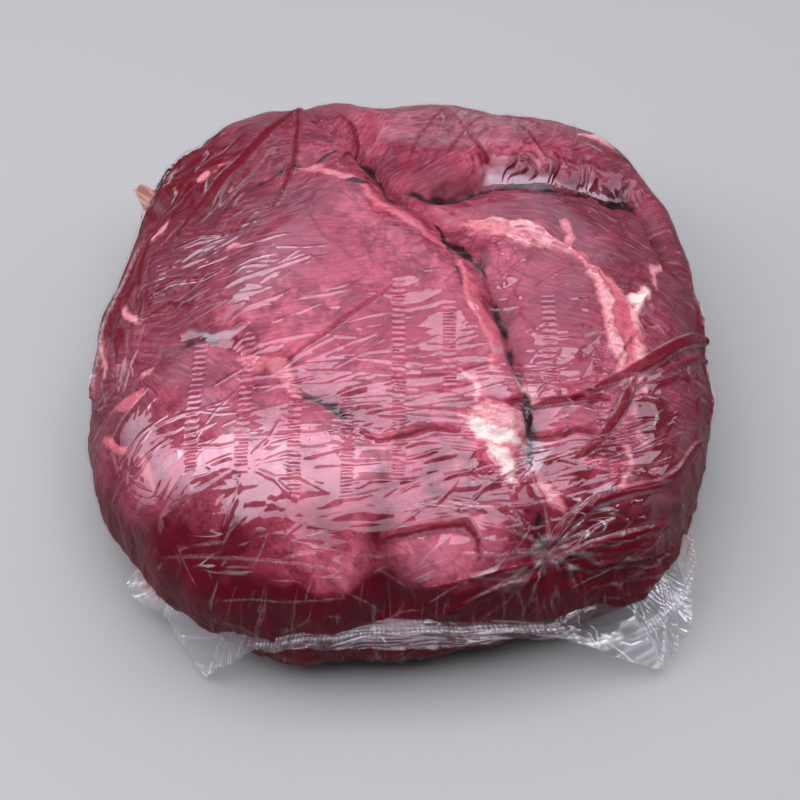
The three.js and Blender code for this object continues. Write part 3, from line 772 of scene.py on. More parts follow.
# %% Folds of juice, and the two skins together
def juice_folds(p, q):
    """Folds that juice has filled, each one round: height * sqrt(1 - (off / half width)^2)."""
    height = np.zeros_like(p)
    for lift, path in JUICE_FOLDS:
        chosen, off, _, width, _ = near_path(path, p, q, 8.0)
        height[chosen] += lift * np.sqrt(np.maximum(1 - (off / (width + 0.5)) ** 2, 0.0))
    return height


def film_and_meat(p, q):
    """Heights of the film, kept FILM_CLEAR over the meat, of the meat, and of the gathers."""
    gathered = patches(p, q, CRUMPLES, crumple) + side_gathers(p, q)
    folds = juice_folds(p, q)
    meat = meat_relief(p, q, gathered + folds)
    film = lobes_and_swells(p, q) + gathered + folds + star_relief(p, q)
    film += cleft_relief(p, q, depth_share=0.27, spread=1.4, slot_share=0.05)
    film += 0.25 * waves(p / 17, q / 17, 5) + patches(p, q, RIPPLES, ripple)
    film += taut_creases(p, q)[1]
    return np.maximum(film * foot_fade(p, q), meat + FILM_CLEAR), meat, gathered


FILM_CLEAR = 0.25
print(len(JUICE_FOLDS), "folds of juice, and", FILM_CLEAR, "mm kept between meat and film")

# %% [markdown]
# ## Turning a grid into pieces
# A whole skin would have more faces than one piece should, so it is cut into three by three
# blocks. A block at the rim closes its share of the flat underside as well, with three rings
# and a fan. The normals are worked out on the whole grid first, so that no seam shows.


# %% Building meshes from arrays
def new_mesh(name, points, faces, normals=None, fields=None):
    """A smooth mesh object from arrays in mm: points, quads or triangles, and fields."""
    mesh = bpy.data.meshes.new(name)
    points = (np.asarray(points) + MOVE_TO_MIDDLE) * MM
    mesh.vertices.add(len(points))
    mesh.vertices.foreach_set("co", points.astype(np.float32).ravel())
    sizes = np.concatenate([np.full(len(part), part.shape[1]) for part in faces])
    corners = np.concatenate([part.ravel() for part in faces]).astype(np.int32)
    mesh.loops.add(len(corners))
    mesh.loops.foreach_set("vertex_index", corners)
    mesh.polygons.add(len(sizes))
    starts = np.append(0, np.cumsum(sizes)[:-1]).astype(np.int32)
    mesh.polygons.foreach_set("loop_start", starts)
    mesh.update(calc_edges=True)
    mesh.validate()
    mesh.shade_smooth()
    for field, values in (fields or {}).items():
        values = np.asarray(values, np.float32)
        kind = "FLOAT_VECTOR" if values.ndim == 2 else "FLOAT"
        layer = mesh.attributes.new(field, kind, "POINT")
        layer.data.foreach_set("vector" if values.ndim == 2 else "value", values.ravel())
    if normals is not None:
        mesh.normals_split_custom_set_from_vertices(normals.tolist())
    piece = bpy.data.objects.new(name, mesh)
    bpy.context.scene.collection.objects.link(piece)
    return piece


def grid_faces(rows, columns):
    """Quads of a grid of points, as indices, wound so that they face up out of the map."""
    at = np.arange(rows * columns).reshape(rows, columns)
    corners = [at[:-1, :-1], at[:-1, 1:], at[1:, 1:], at[1:, :-1]]
    return np.stack([corner.ravel() for corner in corners], -1)


def grid_normals(points):
    """Normals of a grid: the cross product of its differences along rows and columns."""
    down, across = np.gradient(points, axis=0), np.gradient(points, axis=1)
    normal = np.cross(across, down)
    return normal / np.maximum(np.linalg.norm(normal, axis=-1, keepdims=True), 1e-9)


def dress(piece, material):
    """Gives a piece its material and body, and hides the imported solid that it stands for."""
    piece.data.materials.append(material)
    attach(piece, "root")
    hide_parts(NODE)


print("a grid of 3 by 3 points makes", len(grid_faces(3, 3)), "quads")


# %% Closing the underside of a block
def close_underside(part, rim, base_level):
    """Points and faces of a block's share of the underside, from its rim to the middle.

    Each ring is the rim drawn in to a share of BASE_RINGS, at the level of the base, and a
    fan of triangles joins the last ring to one point in the middle.
    """
    base, faces, outer = [], [], rim
    for share in BASE_RINGS:
        inner = len(part) + len(base) * len(rim) + np.arange(len(rim))
        base.append(part[rim] * [share, share, 0.0] + [0.0, 0.0, base_level])
        faces.append(np.stack([outer[:-1], inner[:-1], inner[1:], outer[1:]], -1))
        outer = inner
    centre = np.full(len(rim) - 1, len(part) + len(BASE_RINGS) * len(rim))
    faces.append(np.stack([outer[:-1], centre, outer[1:]], -1))
    return np.concatenate(base + [np.array([[0.0, 0.0, base_level]])]), faces


BASE_RINGS = (0.86, 0.6, 0.3)
print("the underside closes in", len(BASE_RINGS), "rings")


# %% Cutting a skin into nine blocks
def skin_pieces(stem, p, q, height, fields, base_level, material):
    """Nine mesh objects from one skin: its smooth points moved out by their heights.

    Blocks share the normals of the whole grid, and those at the rim close the underside.
    """
    cells = math.isqrt(len(p)) - 1
    shape = (cells + 1, cells + 1, -1)
    points = (smooth_skin(p, q) + skin_normal(p, q) * height[:, None]).reshape(shape)
    normals = grid_normals(points)
    ring, angle = square_grid(cells)
    third = cells // 3
    for name, (row, column) in BLOCKS.items():
        cut = tuple(slice(at * third, (at + 1) * third + 1) for at in (row, column))
        part, normal = points[cut].reshape(-1, 3), normals[cut].reshape(-1, 3)
        values = {field: whole.reshape(shape)[cut] for field, whole in fields.items()}
        values = {field: own.reshape(len(part), -1) for field, own in values.items()}
        faces = [grid_faces(third + 1, third + 1)]
        rim = np.flatnonzero(ring[cut].ravel() > 0.9999)
        if len(rim):
            turn = angle[cut] - angle[cut][third // 2, third // 2] + np.pi
            rim = rim[np.argsort(turn.ravel()[rim] % (2 * np.pi))]
            base, closing = close_underside(part, rim, base_level)
            faces += closing
            part = np.concatenate([part, base])
            normal = np.concatenate([normal, np.tile([0.0, 0.0, -1.0], (len(base), 1))])
            for field, own in values.items():
                values[field] = np.concatenate([own, np.tile(own[rim[0]], (len(base), 1))])
        values = {field: own if own.shape[1] == 3 else own[:, 0] for field, own in values.items()}
        dress(new_mesh(f"{stem}_{name}", part, faces, normal, values), material)
    print(stem, "in", len(BLOCKS), "blocks, highest", round(float(points[..., 2].max()), 1), "mm")


BLOCKS = {
    "front_left": (0, 0), "front": (0, 1), "front_right": (0, 2),
    "left": (1, 0), "middle": (1, 1), "right": (1, 2),
    "back_left": (2, 0), "back": (2, 1), "back_right": (2, 2),
}

# %% [markdown]
# ## A small kit for materials
# Nodes are added by one function, which sets and links what it is given. Colours are
# written as the sRGB hex values that a paint program shows, and turned to linear light.
# What a grid has measured, such as how deep a point lies in fat, is stored on the mesh as an
# attribute, and the material reads it by name.


# %% Colours and nodes
def linear(hex_colour):
    """sRGB to linear: c / 12.92 up to 0.04045, else ((c + 0.055) / 1.055) ^ 2.4."""
    parts = [int(hex_colour[i : i + 2], 16) / 255 for i in (1, 3, 5)]
    return [c / 12.92 if c <= 0.04045 else ((c + 0.055) / 1.055) ** 2.4 for c in parts] + [1.0]


def add_node(material, kind, inputs=(), output=None, **settings):
    """Adds a node with its settings, and gives back one output: the named one, or the first.

    Inputs are a list, in the order that the node shows them, or go by name. One that is
    another node's output is linked, and any other is set.
    """
    tree = material.node_tree
    node = tree.nodes.new("ShaderNode" + kind)
    for setting, value in settings.items():
        setattr(node, setting, value)
    shown = [socket for socket in node.inputs if socket.enabled]
    pairs = inputs.items() if isinstance(inputs, dict) else zip(shown, inputs)
    for key, value in pairs:
        socket = node.inputs[key] if isinstance(key, str) else key
        if isinstance(value, bpy.types.NodeSocket):
            tree.links.new(value, socket)
        else:
            socket.default_value = value
    if output:
        return node.outputs[output]
    return next((socket for socket in node.outputs if socket.enabled), None)


def new_material(name):
    """An empty node material."""
    material = bpy.data.materials.new(name)
    material.use_nodes = True
    material.node_tree.nodes.clear()
    return material


def laid_over(material, under, over, value, low, high, most=1.0):
    """Lays a colour over another: none of it where the value is at low, and most at high."""
    ends = [value, low, high, 0.0, most]
    share = add_node(material, "MapRange", ends, interpolation_type="SMOOTHSTEP")
    return add_node(material, "Mix", [share, under, over], data_type="RGBA")


print("middle grey in linear light:", round(linear("#808080")[0], 3))

# %% [markdown]
# ## Raw beef
# Beef that has had no air is dark mauve, and turns bright red only after the bag is opened.
# Cut raw, it is moist and a little translucent, so the eye sees soft colour with no hard
# shine of its own. The colour is uneven in several sizes: mottling about a centimetre
# across, fibre bundles a millimetre wide, specks and flecks between them, and thin dark
# lines where a membrane folds. Each is noise of its own real size, and lays one more colour
# over the last. Where the film lies dry on the meat it is duller and its fibres show more,
# and the same dull brown is also painted shade on the sides and at the back, while a paler
# colour is painted light on the front lobes. Where juice has gathered it is deep red and
# the fibres hardly show. The dark slots of the clefts are painted shade, and the whitest
# streaks of fat are partly painted highlight.


# %% Lean meat
def lean_meat(beef, place, fibre, grain):
    """The colour of the lean: mottled mauve-red, dull brown with painted shade, paler with painted
    light, then fibres, veins, specks and juice.
    """
    dull_and_shade, purge = (
        add_node(beef, "Attribute", output="Fac", attribute_name=name)
        for name in ("dull_and_shade", "purge")
    )
    mottle, broad, folds, specks, smudge, pools = (
        add_node(beef, "TexNoise", {
            "Vector": place, "Scale": scale, "Detail": detail, "Roughness": roughness,
            "Distortion": distortion,
        })
        for scale, detail, roughness, distortion in LEAN_NOISES
    )
    stretched = add_node(beef, "Mapping", {"Vector": grain, "Scale": (0.3, 0.6, 1.0)})
    flecks = add_node(beef, "TexNoise", {
        "Vector": stretched, "Scale": 1.0, "Detail": 2.0, "Roughness": 0.6, "Distortion": 0.6,
    })
    lean = laid_over(beef, linear("#7b2239"), linear("#be5a70"), mottle, 0.36, 0.64)
    lean = laid_over(beef, lean, linear("#98384f"), broad, 0.35, 0.7)
    # 6e3642 is the dull brown of drier lean and painted shade on the sides and the back; below
    # nought the lean goes to the paler #cb7a8c, painted light on the front lobes.
    lean = add_node(beef, "Mix", [dull_and_shade, lean, linear("#6e3642")], data_type="RGBA")
    pale_and_lit = add_node(beef, "Math", [dull_and_shade, -1.0], operation="MULTIPLY")
    lean = add_node(beef, "Mix", [pale_and_lit, lean, linear("#cb7a8c")], data_type="RGBA")

    clean = add_node(beef, "Math", [1.0, purge], operation="SUBTRACT", use_clamp=True)
    dry = add_node(beef, "Math", [dull_and_shade, 0.36, 0.24], operation="MULTIPLY_ADD")
    dry = add_node(beef, "Math", [dry, clean], operation="MULTIPLY")
    half_dry = add_node(beef, "Math", [dry, 0.5], operation="MULTIPLY")
    folds = add_node(beef, "Math", [folds, 0.5], operation="SUBTRACT")
    folds = add_node(beef, "Math", [folds], operation="ABSOLUTE")
    vein = add_node(beef, "Math", [clean, 0.35, 0.1], operation="MULTIPLY_ADD")
    layers = [
        ("#5a1f2f", fibre, 0.48, 0.61, dry),
        ("#cb808e", fibre, 0.46, 0.32, half_dry),
        ("#4c0f20", folds, 0.022, 0.002, vein),
        ("#c27682", specks, 0.66, 0.74, 0.5),
        ("#501a2a", flecks, 0.57, 0.68, 0.4),
        ("#7f1230", smudge, 0.55, 0.72, 0.6),
    ]
    for colour, *where in layers:
        lean = laid_over(beef, lean, linear(colour), *where)

    wet = [purge, lean, linear("#9a4865")]
    lean = add_node(beef, "Mix", wet, data_type="RGBA", blend_type="MULTIPLY")
    pools = add_node(beef, "Math", [pools, 1.6, -0.8], operation="MULTIPLY_ADD")
    pools = add_node(beef, "Math", [purge, pools], operation="ADD")
    return laid_over(beef, lean, linear("#520818"), pools, 0.78, 1.12)


# Waves a millimetre, detail, roughness and distortion
LEAN_NOISES = [
    (0.085, 4.0, 0.74, 0.4),  # mottling 12 mm across
    (0.022, 2.0, 0.5, 0.0),  # broad changes of tone, 45 mm across
    (0.028, 3.0, 0.55, 1.2),  # folds of membrane, 36 mm apart
    (0.3, 2.0, 0.7, 0.8),  # pale specks, 3 mm apart
    (0.13, 3.0, 0.6, 0.8),  # smudges of blood, 8 mm across
    (0.055, 3.0, 0.6, 0.5),  # pools of juice, 18 mm across
]
print("the lean is mottled", round(1 / LEAN_NOISES[0][0]), "mm across")


# %% Fat over the lean
def fat_over(beef, lean, fibre, edge, grain):
    """Lays fat over the lean, redder where it is mottled and at its rim, with frayed edges."""
    tone_and_highlight, depth = (
        add_node(beef, "Attribute", output="Fac", attribute_name=name)
        for name in ("fat_tone_and_highlight", "fat")
    )
    stretched = add_node(beef, "Mapping", {"Vector": grain, "Scale": (0.2, 0.6, 1.0)})
    mottle = add_node(beef, "TexNoise", {
        "Vector": stretched, "Scale": 1.0, "Detail": 3.0, "Roughness": 0.7, "Distortion": 0.8,
    })
    # Whiter streaks go to #e6d2cc: the fat's own white, and on the raised tops partly painted
    # highlight.
    fat = add_node(beef, "Mix", [tone_and_highlight, linear("#b75f6e"), linear("#e6d2cc")], data_type="RGBA")
    most = add_node(beef, "Math", [tone_and_highlight, -0.55, 0.75], operation="MULTIPLY_ADD")
    fat = laid_over(beef, fat, linear("#ad4659"), mottle, 0.47, 0.6, most)
    frayed = add_node(beef, "Math", [fibre, 3.6, -1.8], operation="MULTIPLY_ADD")
    frayed = add_node(beef, "Math", [edge, 1.6, frayed], operation="MULTIPLY_ADD")
    depth = add_node(beef, "Math", [depth, frayed], operation="ADD")
    fat = laid_over(beef, fat, linear("#c05c6a"), depth, 1.7, 0.2, 0.6)
    return laid_over(beef, lean, fat, depth, -1.2, 0.5)


print("fat's fibres run", round(0.6 / 0.2), "times as long as they are wide")


# %% The meat's material
def raw_beef():
    """Moist raw beef: lean, fat, juice in the folds, and painted shade in the clefts' slots, with
    fine fibres as bump.

    It isn't glossy itself, because the film over it takes the shine.
    """
    beef = new_material("raw beef")
    place, grain = (
        add_node(beef, "Attribute", output="Vector", attribute_name=name)
        for name in ("map_place", "grain_place")
    )
    juice, cleft_shade = (
        add_node(beef, "Attribute", output="Fac", attribute_name=name)
        for name in ("juice", "cleft_shade")
    )
    fine = add_node(beef, "TexNoise", {
        "Vector": place, "Scale": FINE_SCALE, "Detail": 3.0, "Roughness": 0.6,
    })
    edge = add_node(beef, "Math", [fine, 1.6, -0.8], operation="MULTIPLY_ADD")
    stretched = add_node(beef, "Mapping", {"Vector": grain, "Scale": FIBRE_SCALE})
    fibre = add_node(beef, "TexNoise", {
        "Vector": stretched, "Scale": 1.0, "Detail": 3.0, "Roughness": 0.6, "Distortion": 0.5,
    })
    colour = lean_meat(beef, place, fibre, grain)
    colour = fat_over(beef, colour, fibre, edge, grain)
    # 5e0619 is the juice in the folds; #341d1e is painted shade in the dark slots of the clefts.
    for over, depth, high, most in (("#5e0619", juice, 0.9, 0.9), ("#341d1e", cleft_shade, 0.6, 1.0)):
        depth = add_node(beef, "Math", [depth, edge], operation="ADD")
        colour = laid_over(beef, colour, linear(over), depth, -0.5, high, most)

    height = add_node(beef, "Math", [fibre, -0.3], operation="MULTIPLY")
    height = add_node(beef, "Math", [fine, 0.35, height], operation="MULTIPLY_ADD")
    bump = add_node(beef, "Bump", {"Strength": 0.7, "Distance": MM, "Height": height})
    surface = add_node(beef, "BsdfPrincipled", {
        "Base Color": colour, "Roughness": 0.42, "Specular IOR Level": 0.06, "Normal": bump,
    })
    add_node(beef, "OutputMaterial", [surface])
    return beef


FINE_SCALE = 0.45  # waves a millimetre of the grit that frays every edge
FIBRE_SCALE = (0.1, 0.85, 1.0)  # fibre bundles 1.2 mm wide and 10 mm long
beef = raw_beef()
print(beef.name, "has", len(beef.node_tree.nodes), "nodes")

# %% [markdown]
# ## Clear shrink film
# The bag is blown polyethylene film of several layers, a twentieth of a millimetre thick,
# and a dip in hot water has shrunk it. That leaves it clear and as smooth as glass between
# its folds. It lets light through and mirrors a little of it. Its upper face mirrors a share
# worked out from its IOR of 1.5. Its lower face mirrors as much where air is behind it, and
# nothing where it lies in juice, so the film carries a field of how many faces mirror. The
# material mixes a clear part and a mirror part by that share, and lays on a thin white haze
# where the film is creased; along the creases, the fine lines, the rays and beside the folds
# of juice that white is painted highlight. The bag also has columns of small ribs that let
# the air out while it is packed, and these are fine enough to be left to a bump.


# %% Columns of ribs
def ribs(film, place):
    """Height of the ribs: a sine along each column, a rib each RIB_PITCH, bent a little."""
    strength = add_node(film, "Attribute", output="Fac", attribute_name="ribs")
    wobble = add_node(film, "TexNoise", {"Vector": place, "Scale": 0.3})
    along = add_node(film, "SeparateXYZ", [place], output="Y")
    along = add_node(film, "Math", [wobble, 1.2, along], operation="MULTIPLY_ADD")
    turns = add_node(film, "Math", [along, 2 * math.pi / RIB_PITCH], operation="MULTIPLY")
    wave = add_node(film, "Math", [turns], operation="SINE")
    wave = add_node(film, "Math", [wave, strength], operation="MULTIPLY")
    return add_node(film, "Math", [wave, RIB_HEIGHT / 2], operation="MULTIPLY")


def rib_field(p, q):
    """1 in the columns of ribs, fading at a column's sides and ends."""
    strength = np.zeros_like(p)
    for column, low, high in RIB_COLUMNS:
        across = smooth(RIB_HALF_WIDTH, RIB_HALF_WIDTH - 0.9, abs(p - column * RIB_SPACING))
        along = smooth(low - 3, low + 3, q) * smooth(high + 3, high - 3, q)
        strength = np.maximum(strength, across * along)
    return strength


RIB_PITCH = 2.75
RIB_SPACING = 19.4
RIB_HALF_WIDTH = 2.9
RIB_HEIGHT = 0.4
# Each column's number from the middle, and where it starts and ends
RIB_COLUMNS = [
    (-4, -80, -26), (-3, -84, -24), (-2, -92, -44), (-1, -92, -52), (0, -85, -2), (1, -52, -12),
    (3, -46, -6), (4, -68, -28), (-5, -10, 20),
]
print(len(RIB_COLUMNS), "columns of ribs,", RIB_SPACING, "mm apart")


# %% The film's material
def shrink_film():
    """Clear, glossy, wrinkled film with faint ribs, fine lines, and a white haze, painted
    highlight along its creases and fine lines.
    """
    film = new_material("clear shrink film")
    place, line_place = (
        add_node(film, "Attribute", output="Vector", attribute_name=name)
        for name in ("map_place", "line_place")
    )
    lined, faces, stained, haze_and_highlight = (
        add_node(film, "Attribute", output="Fac", attribute_name=name)
        for name in ("lined", "faces", "stained", "haze_and_highlight")
    )
    stretched = add_node(film, "Mapping", {
        "Vector": place, "Rotation": (0.0, 0.0, math.radians(12.0)), "Scale": (0.2, 0.4, 1.0),
    })
    creases = add_node(film, "TexNoise", {
        "Vector": stretched, "Scale": 1.0, "Detail": 1.0, "Distortion": 0.5,
    })
    lines = add_node(film, "TexNoise", {"Vector": line_place, "Scale": 1.0, "Distortion": 0.6})
    lines = add_node(film, "Math", [lines, 0.5], operation="SUBTRACT")
    lines = add_node(film, "Math", [lines], operation="ABSOLUTE")
    breaks = add_node(film, "TexNoise", {"Vector": line_place, "Scale": 1.7, "Detail": 1.0})
    drawn, patchy = (
        add_node(film, "MapRange", ends, interpolation_type="SMOOTHSTEP")
        for ends in ([breaks, 0.42, 0.58, 0.0, lined], [creases, 0.4, 0.6, 0.4, 1.0])
    )
    ridges, highlight_threads = (
        add_node(film, "MapRange", [lines, *ends, 0.0, drawn], interpolation_type="SMOOTHSTEP")
        for ends in ((0.07, 0.0), (0.018, 0.006))
    )
    height = add_node(film, "Math", [creases, 0.05, ribs(film, place)], operation="MULTIPLY_ADD")
    height = add_node(film, "Math", [ridges, 0.14, height], operation="MULTIPLY_ADD")
    bump = add_node(film, "Bump", {"Strength": 1.0, "Distance": MM, "Height": height})

    mirrored = add_node(film, "Fresnel", {"IOR": FILM_IOR, "Normal": bump})
    mirrored = add_node(film, "Math", [mirrored, MOST_MIRRORED], operation="MINIMUM")
    mirrored = add_node(film, "Math", [mirrored, faces], operation="MULTIPLY")
    clear = add_node(film, "BsdfTransparent", {"Color": (0.98, 0.975, 0.98, 1.0)})
    mirror = add_node(film, "BsdfPrincipled", {
        "Base Color": (0.95, 0.89, 1.0, 1.0), "Metallic": 1.0, "Roughness": FILM_ROUGHNESS,
        "Normal": bump,
    })
    sheet = add_node(film, "MixShader", [mirrored, clear, mirror])

    # The white mixed in below is a faint milkiness, real stains, and painted highlight: the thin
    # white threads along the fine lines and the white that the fields lay on creases and fold
    # rims.
    haze_and_highlight = add_node(film, "Math", [haze_and_highlight, patchy], operation="MULTIPLY")
    haze_and_highlight = add_node(film, "Math", [highlight_threads, 0.35, haze_and_highlight], operation="MULTIPLY_ADD")
    haze_and_highlight = add_node(film, "Math", [stained, 0.75, haze_and_highlight], operation="MULTIPLY_ADD")
    tints = [stained, linear("#e9eaee"), linear("#a8746a")]
    milky_and_highlight = add_node(film, "BsdfPrincipled", {
        "Base Color": add_node(film, "Mix", tints, data_type="RGBA"), "Roughness": 0.3,
        "Normal": bump,
    })
    surface = add_node(film, "MixShader", [haze_and_highlight, sheet, milky_and_highlight])
    add_node(film, "OutputMaterial", [surface])
    return film


FILM_IOR = 1.5
FILM_ROUGHNESS = 0.035  # smooth as blown, so that its reflections keep their edges
MOST_MIRRORED = 0.056  # a cap on one face's share, so that the steep sides stay deep red
film = shrink_film()
print(film.name, "has", len(film.node_tree.nodes), "nodes")

# %% [markdown]
# ## Laying out the meat
# The meat is laid out first. Each field below is worked out on its grid in millimetres or
# as a share, and the material above turns it into colour. The fibres run one way within a
# muscle, bending a little, and change direction at each large cleft.


# %% Grain of the muscles
def grain_places(p, q):
    """Places turned so that the first number runs along the fibres, a direction a muscle."""
    main, across_back, front = (np.array(CLEFTS[k][3]) for k in (0, 1, 2))
    right_of_main = p > np.interp(-q, -main[:, 1], main[:, 0])
    behind = q > np.interp(p, across_back[:, 0], across_back[:, 1])
    before = q < np.interp(p, front[:, 0], front[:, 1])
    degrees = np.where(right_of_main, -14.0, 6.0)
    degrees = np.where(right_of_main & behind, 28.0, degrees)
    degrees = np.where(~right_of_main & before, -48.0, degrees)
    bent_p = p + GRAIN_BEND * waves(p / 40, q / 40, 61)
    bent_q = q + GRAIN_BEND * waves(p / 40, q / 40, 62)
    return as_places(*turned(bent_p, bent_q, degrees))


def fat_fields(p, q):
    """Depth inside the nearest streak of fat, in mm, and how white that streak is: its own white,
    and partly painted highlight.
    """
    depth, tone_and_highlight = np.full(p.shape, -4.0), np.zeros(p.shape)
    for whiteness_and_highlight, _, path in FAT:
        chosen, off, _, width, _ = near_path(path, p, q, 12.0)
        better = width - off > depth[chosen]
        depth[chosen] = np.where(better, width - off, depth[chosen])
        tone_and_highlight[chosen] = np.where(better, whiteness_and_highlight, tone_and_highlight[chosen])
    return depth, tone_and_highlight


GRAIN_BEND = 7.0  # mm that slow waves bend the fibres off their straight line
print("whitest fat", max(whiteness_and_highlight for whiteness_and_highlight, *_ in FAT))


# %% Juice, dull places with painted shade and light, and painted shade in the clefts' slots
def purge_field(p, q):
    """Where dark juice lies under the film: low on every side, and deepest at the front."""
    wander = 12.0 * waves(p / 24, q / 24, 71)
    front = smooth(72.0, 118.0, -q + wander)
    sides = smooth(122.0, 165.0, np.hypot(p, q) + wander)
    blotches = 0.6 * waves(p / 19, q / 25, 72) + 0.45 * waves(p / 8, q / 11, 73)
    share = 0.75 * front + 0.6 * sides + 0.5 * np.maximum(front, sides) * blotches
    return np.clip(share + soft_spots(p, q, PURGE_SPOTS), 0.0, 1.25)


def dull_and_shade_field(p, q):
    """Where the lean is dull brown and painted shade darkens it, on the listed places and all of
    the sides; below nought paler, which on the front lobes is painted light.
    """
    # Darker all round the sides: painted shade.
    share = 0.6 * smooth(112.0, 150.0, np.hypot(p, q) + 10.0 * waves(p / 24, q / 24, 74))
    share = share + soft_spots(p, q, DULL_SHADE_AND_PALE_SPOTS)
    return np.clip(share * (1.0 + 0.5 * waves(p / 16, q / 16, 75)), -0.8, 0.9)


def juice_field(p, q, gathered):
    """Depth inside the juice: within the folds, and wherever the gathered film stands high."""
    folds = inside_bands([path for _, path in JUICE_FOLDS], p, q)
    return np.maximum(folds, 5.0 * (gathered - 0.36))


def cleft_shade_field(p, q):
    """Depth inside a cleft's slot of painted shade, whose width comes and goes along the cleft."""
    narrower = 0.3 - 1.1 * waves(p / 7, q / 7, 76) - 0.5 * waves(p / 3, q / 3, 77)
    return inside_bands([path for *_, path in CLEFTS], p, q) - narrower


print("deepest cleft", max(depth for depth, *_ in CLEFTS), "mm")

# %% The meat
meat_p, meat_q = skin_grid(MEAT_CELLS)
_, meat_height, meat_gathered = film_and_meat(meat_p, meat_q)
# How white the fat is: its own tone, and partly painted highlight.
fat_depth, fat_tone_and_highlight = fat_fields(*uneven(meat_p, meat_q, *FAT_EDGES))
meat_fields = {
    "map_place": as_places(meat_p, meat_q),
    "grain_place": grain_places(meat_p, meat_q),
    "fat": fat_depth,
    "fat_tone_and_highlight": fat_tone_and_highlight,
    "juice": juice_field(meat_p, meat_q, meat_gathered),
    # painted shade in the dark slots of the clefts
    "cleft_shade": cleft_shade_field(*uneven(meat_p, meat_q, *CUT_EDGES)),
    "purge": purge_field(meat_p, meat_q),
    # dull brown with painted shade, and below nought paler with painted light
    "dull_and_shade": dull_and_shade_field(meat_p, meat_q),
}
skin_pieces("meat", meat_p, meat_q, meat_height, meat_fields, MEAT_DEPTH, beef)

# %% [markdown]
# ## Laying out the film
# The film's fields say how strongly it mirrors and how milky it is. The outlines of the
# places with air under them wander, as those of real air do, and they are sharp, because
# the film is either stuck to the meat or it isn't.


# %% How many faces mirror
def faces_field(p, q):
    """How many faces of the film mirror, near 2 over air and below 1 where juice wets it.

    1.25 less 0.45 times the purge, and the air spots more or less. A fold of juice then takes
    most of it away, and it goes down past the edge of the top and on the front slope.
    """
    faces = 1.25 - 0.45 * purge_field(p, q)
    faces += edged_spots(*uneven(p, q, 1.4, 4.0), AIR_SPOTS, 1.25, 0.75)
    for _, path in JUICE_FOLDS:
        chosen, off, _, width, _ = near_path(path, p, q, 6.0)
        faces[chosen] *= 1.0 - 0.85 * smooth(0.7, -0.5, off - width)
    past_top = smooth(104.0, 136.0, nominal_length(p, q))
    on_front = smooth(92.0, 118.0, -q)
    return np.maximum(faces, 0.06) * (1.0 - 0.62 * past_top) * (1.0 - 0.6 * on_front)


trial_faces = faces_field(np.zeros(1), np.zeros(1))
print("faces that mirror in the middle of the top:", round(float(trial_faces[0]), 2))


# %% Fine lines and haze
def line_fields(p, q):
    """Places along and across the local direction of the film's fine lines, and their strength.

    The nearest patch of LINED gives the direction, and the lines fade where two patches meet.
    Down the sides the lines run straight down. The places are in line lengths and spacings.
    """
    down = nominal_length(p, q)
    best, second = 1.2 * smooth(112.0, 140.0, down), np.zeros_like(p)
    along, across = 0.7 * down, 1.5 * round_the_pack(p, q)
    strength = 0.36 - 0.12 * smooth(80.0, 110.0, -q)
    for *place, degrees, strong in LINED:
        weight = soft_spot(p, q, *place)
        nearer = weight > best
        second = np.where(nearer, best, np.maximum(second, weight))
        best = np.where(nearer, weight, best)
        own_along, own_across = turned(p, q, degrees)
        along = np.where(nearer, own_along + 3.0 * place[0], along)
        across = np.where(nearer, own_across + 3.0 * place[1], across)
        strength = np.where(nearer, strong, strength)
    lead = (best - second) / (best + 0.01)
    strength = strength * np.minimum(best, 1.0) * smooth(0.0, 0.5, lead)
    return as_places(along / LINE_LENGTH, across / LINE_SPACING), strength


def haze_and_highlight_field(p, q):
    """How milky the film is: a trace all over, and painted highlight on creases, rays and beside
    juice folds.
    """
    crisp = smooth(0.5, 0.9, taut_creases(p, q)[0])
    # White on the taut creases, stronger on the front, and on the stars' rays: painted highlight.
    haze_and_highlight = HAZE_ALL_OVER + crisp * (0.02 + 0.09 * smooth(84.0, 112.0, -q))
    haze_and_highlight += 0.12 * smooth(0.2, 0.6, star_relief(p, q))
    haze_and_highlight += edged_spots(p, q, MILKY_SPOTS, 1.2, 0.6)
    # White rims beside the folds of juice: painted highlight.
    for _, path in JUICE_FOLDS:
        chosen, off, _, width, to_end = near_path(path, p, q, 6.0)
        rim = np.exp(-(((off - width - 0.2) / 0.3) ** 2)) * smooth(1.0, 1.8, width)
        rim = rim * (1.0 - 0.75 * smooth(10.0, 40.0, q[chosen]))
        haze_and_highlight[chosen] += 0.24 * rim * smooth(0.0, 8.0, to_end)
    return haze_and_highlight


HAZE_ALL_OVER = 0.001
print("fine lines about", LINE_LENGTH, "mm long and", LINE_SPACING, "mm apart")

# %% The film
film_p, film_q = skin_grid(FILM_CELLS)
film_height = film_and_meat(film_p, film_q)[0]
line_place, line_strength = line_fields(film_p, film_q)
film_fields = {
    "map_place": as_places(film_p, film_q),
    "ribs": rib_field(film_p, film_q),
    "faces": faces_field(film_p, film_q),
    # a faint milkiness, and painted highlight on creases and fold rims
    "haze_and_highlight": haze_and_highlight_field(film_p, film_q),
    "line_place": line_place,
    "lined": line_strength,
}
skin_pieces("film", film_p, film_q, film_height, film_fields, 0.0, film)

# %% [markdown]
# ## Film past the seals
# At the front the bag runs on past its heat seal as a skirt of two sheets stuck together.
# It stands out nearly level in the middle and droops at both corners. Smaller lips of film
# stand at the back and at the back left corner. Each sheet is a row of stations round the
# pack, with a root inside the block and a free edge, and all between is worked out from them.

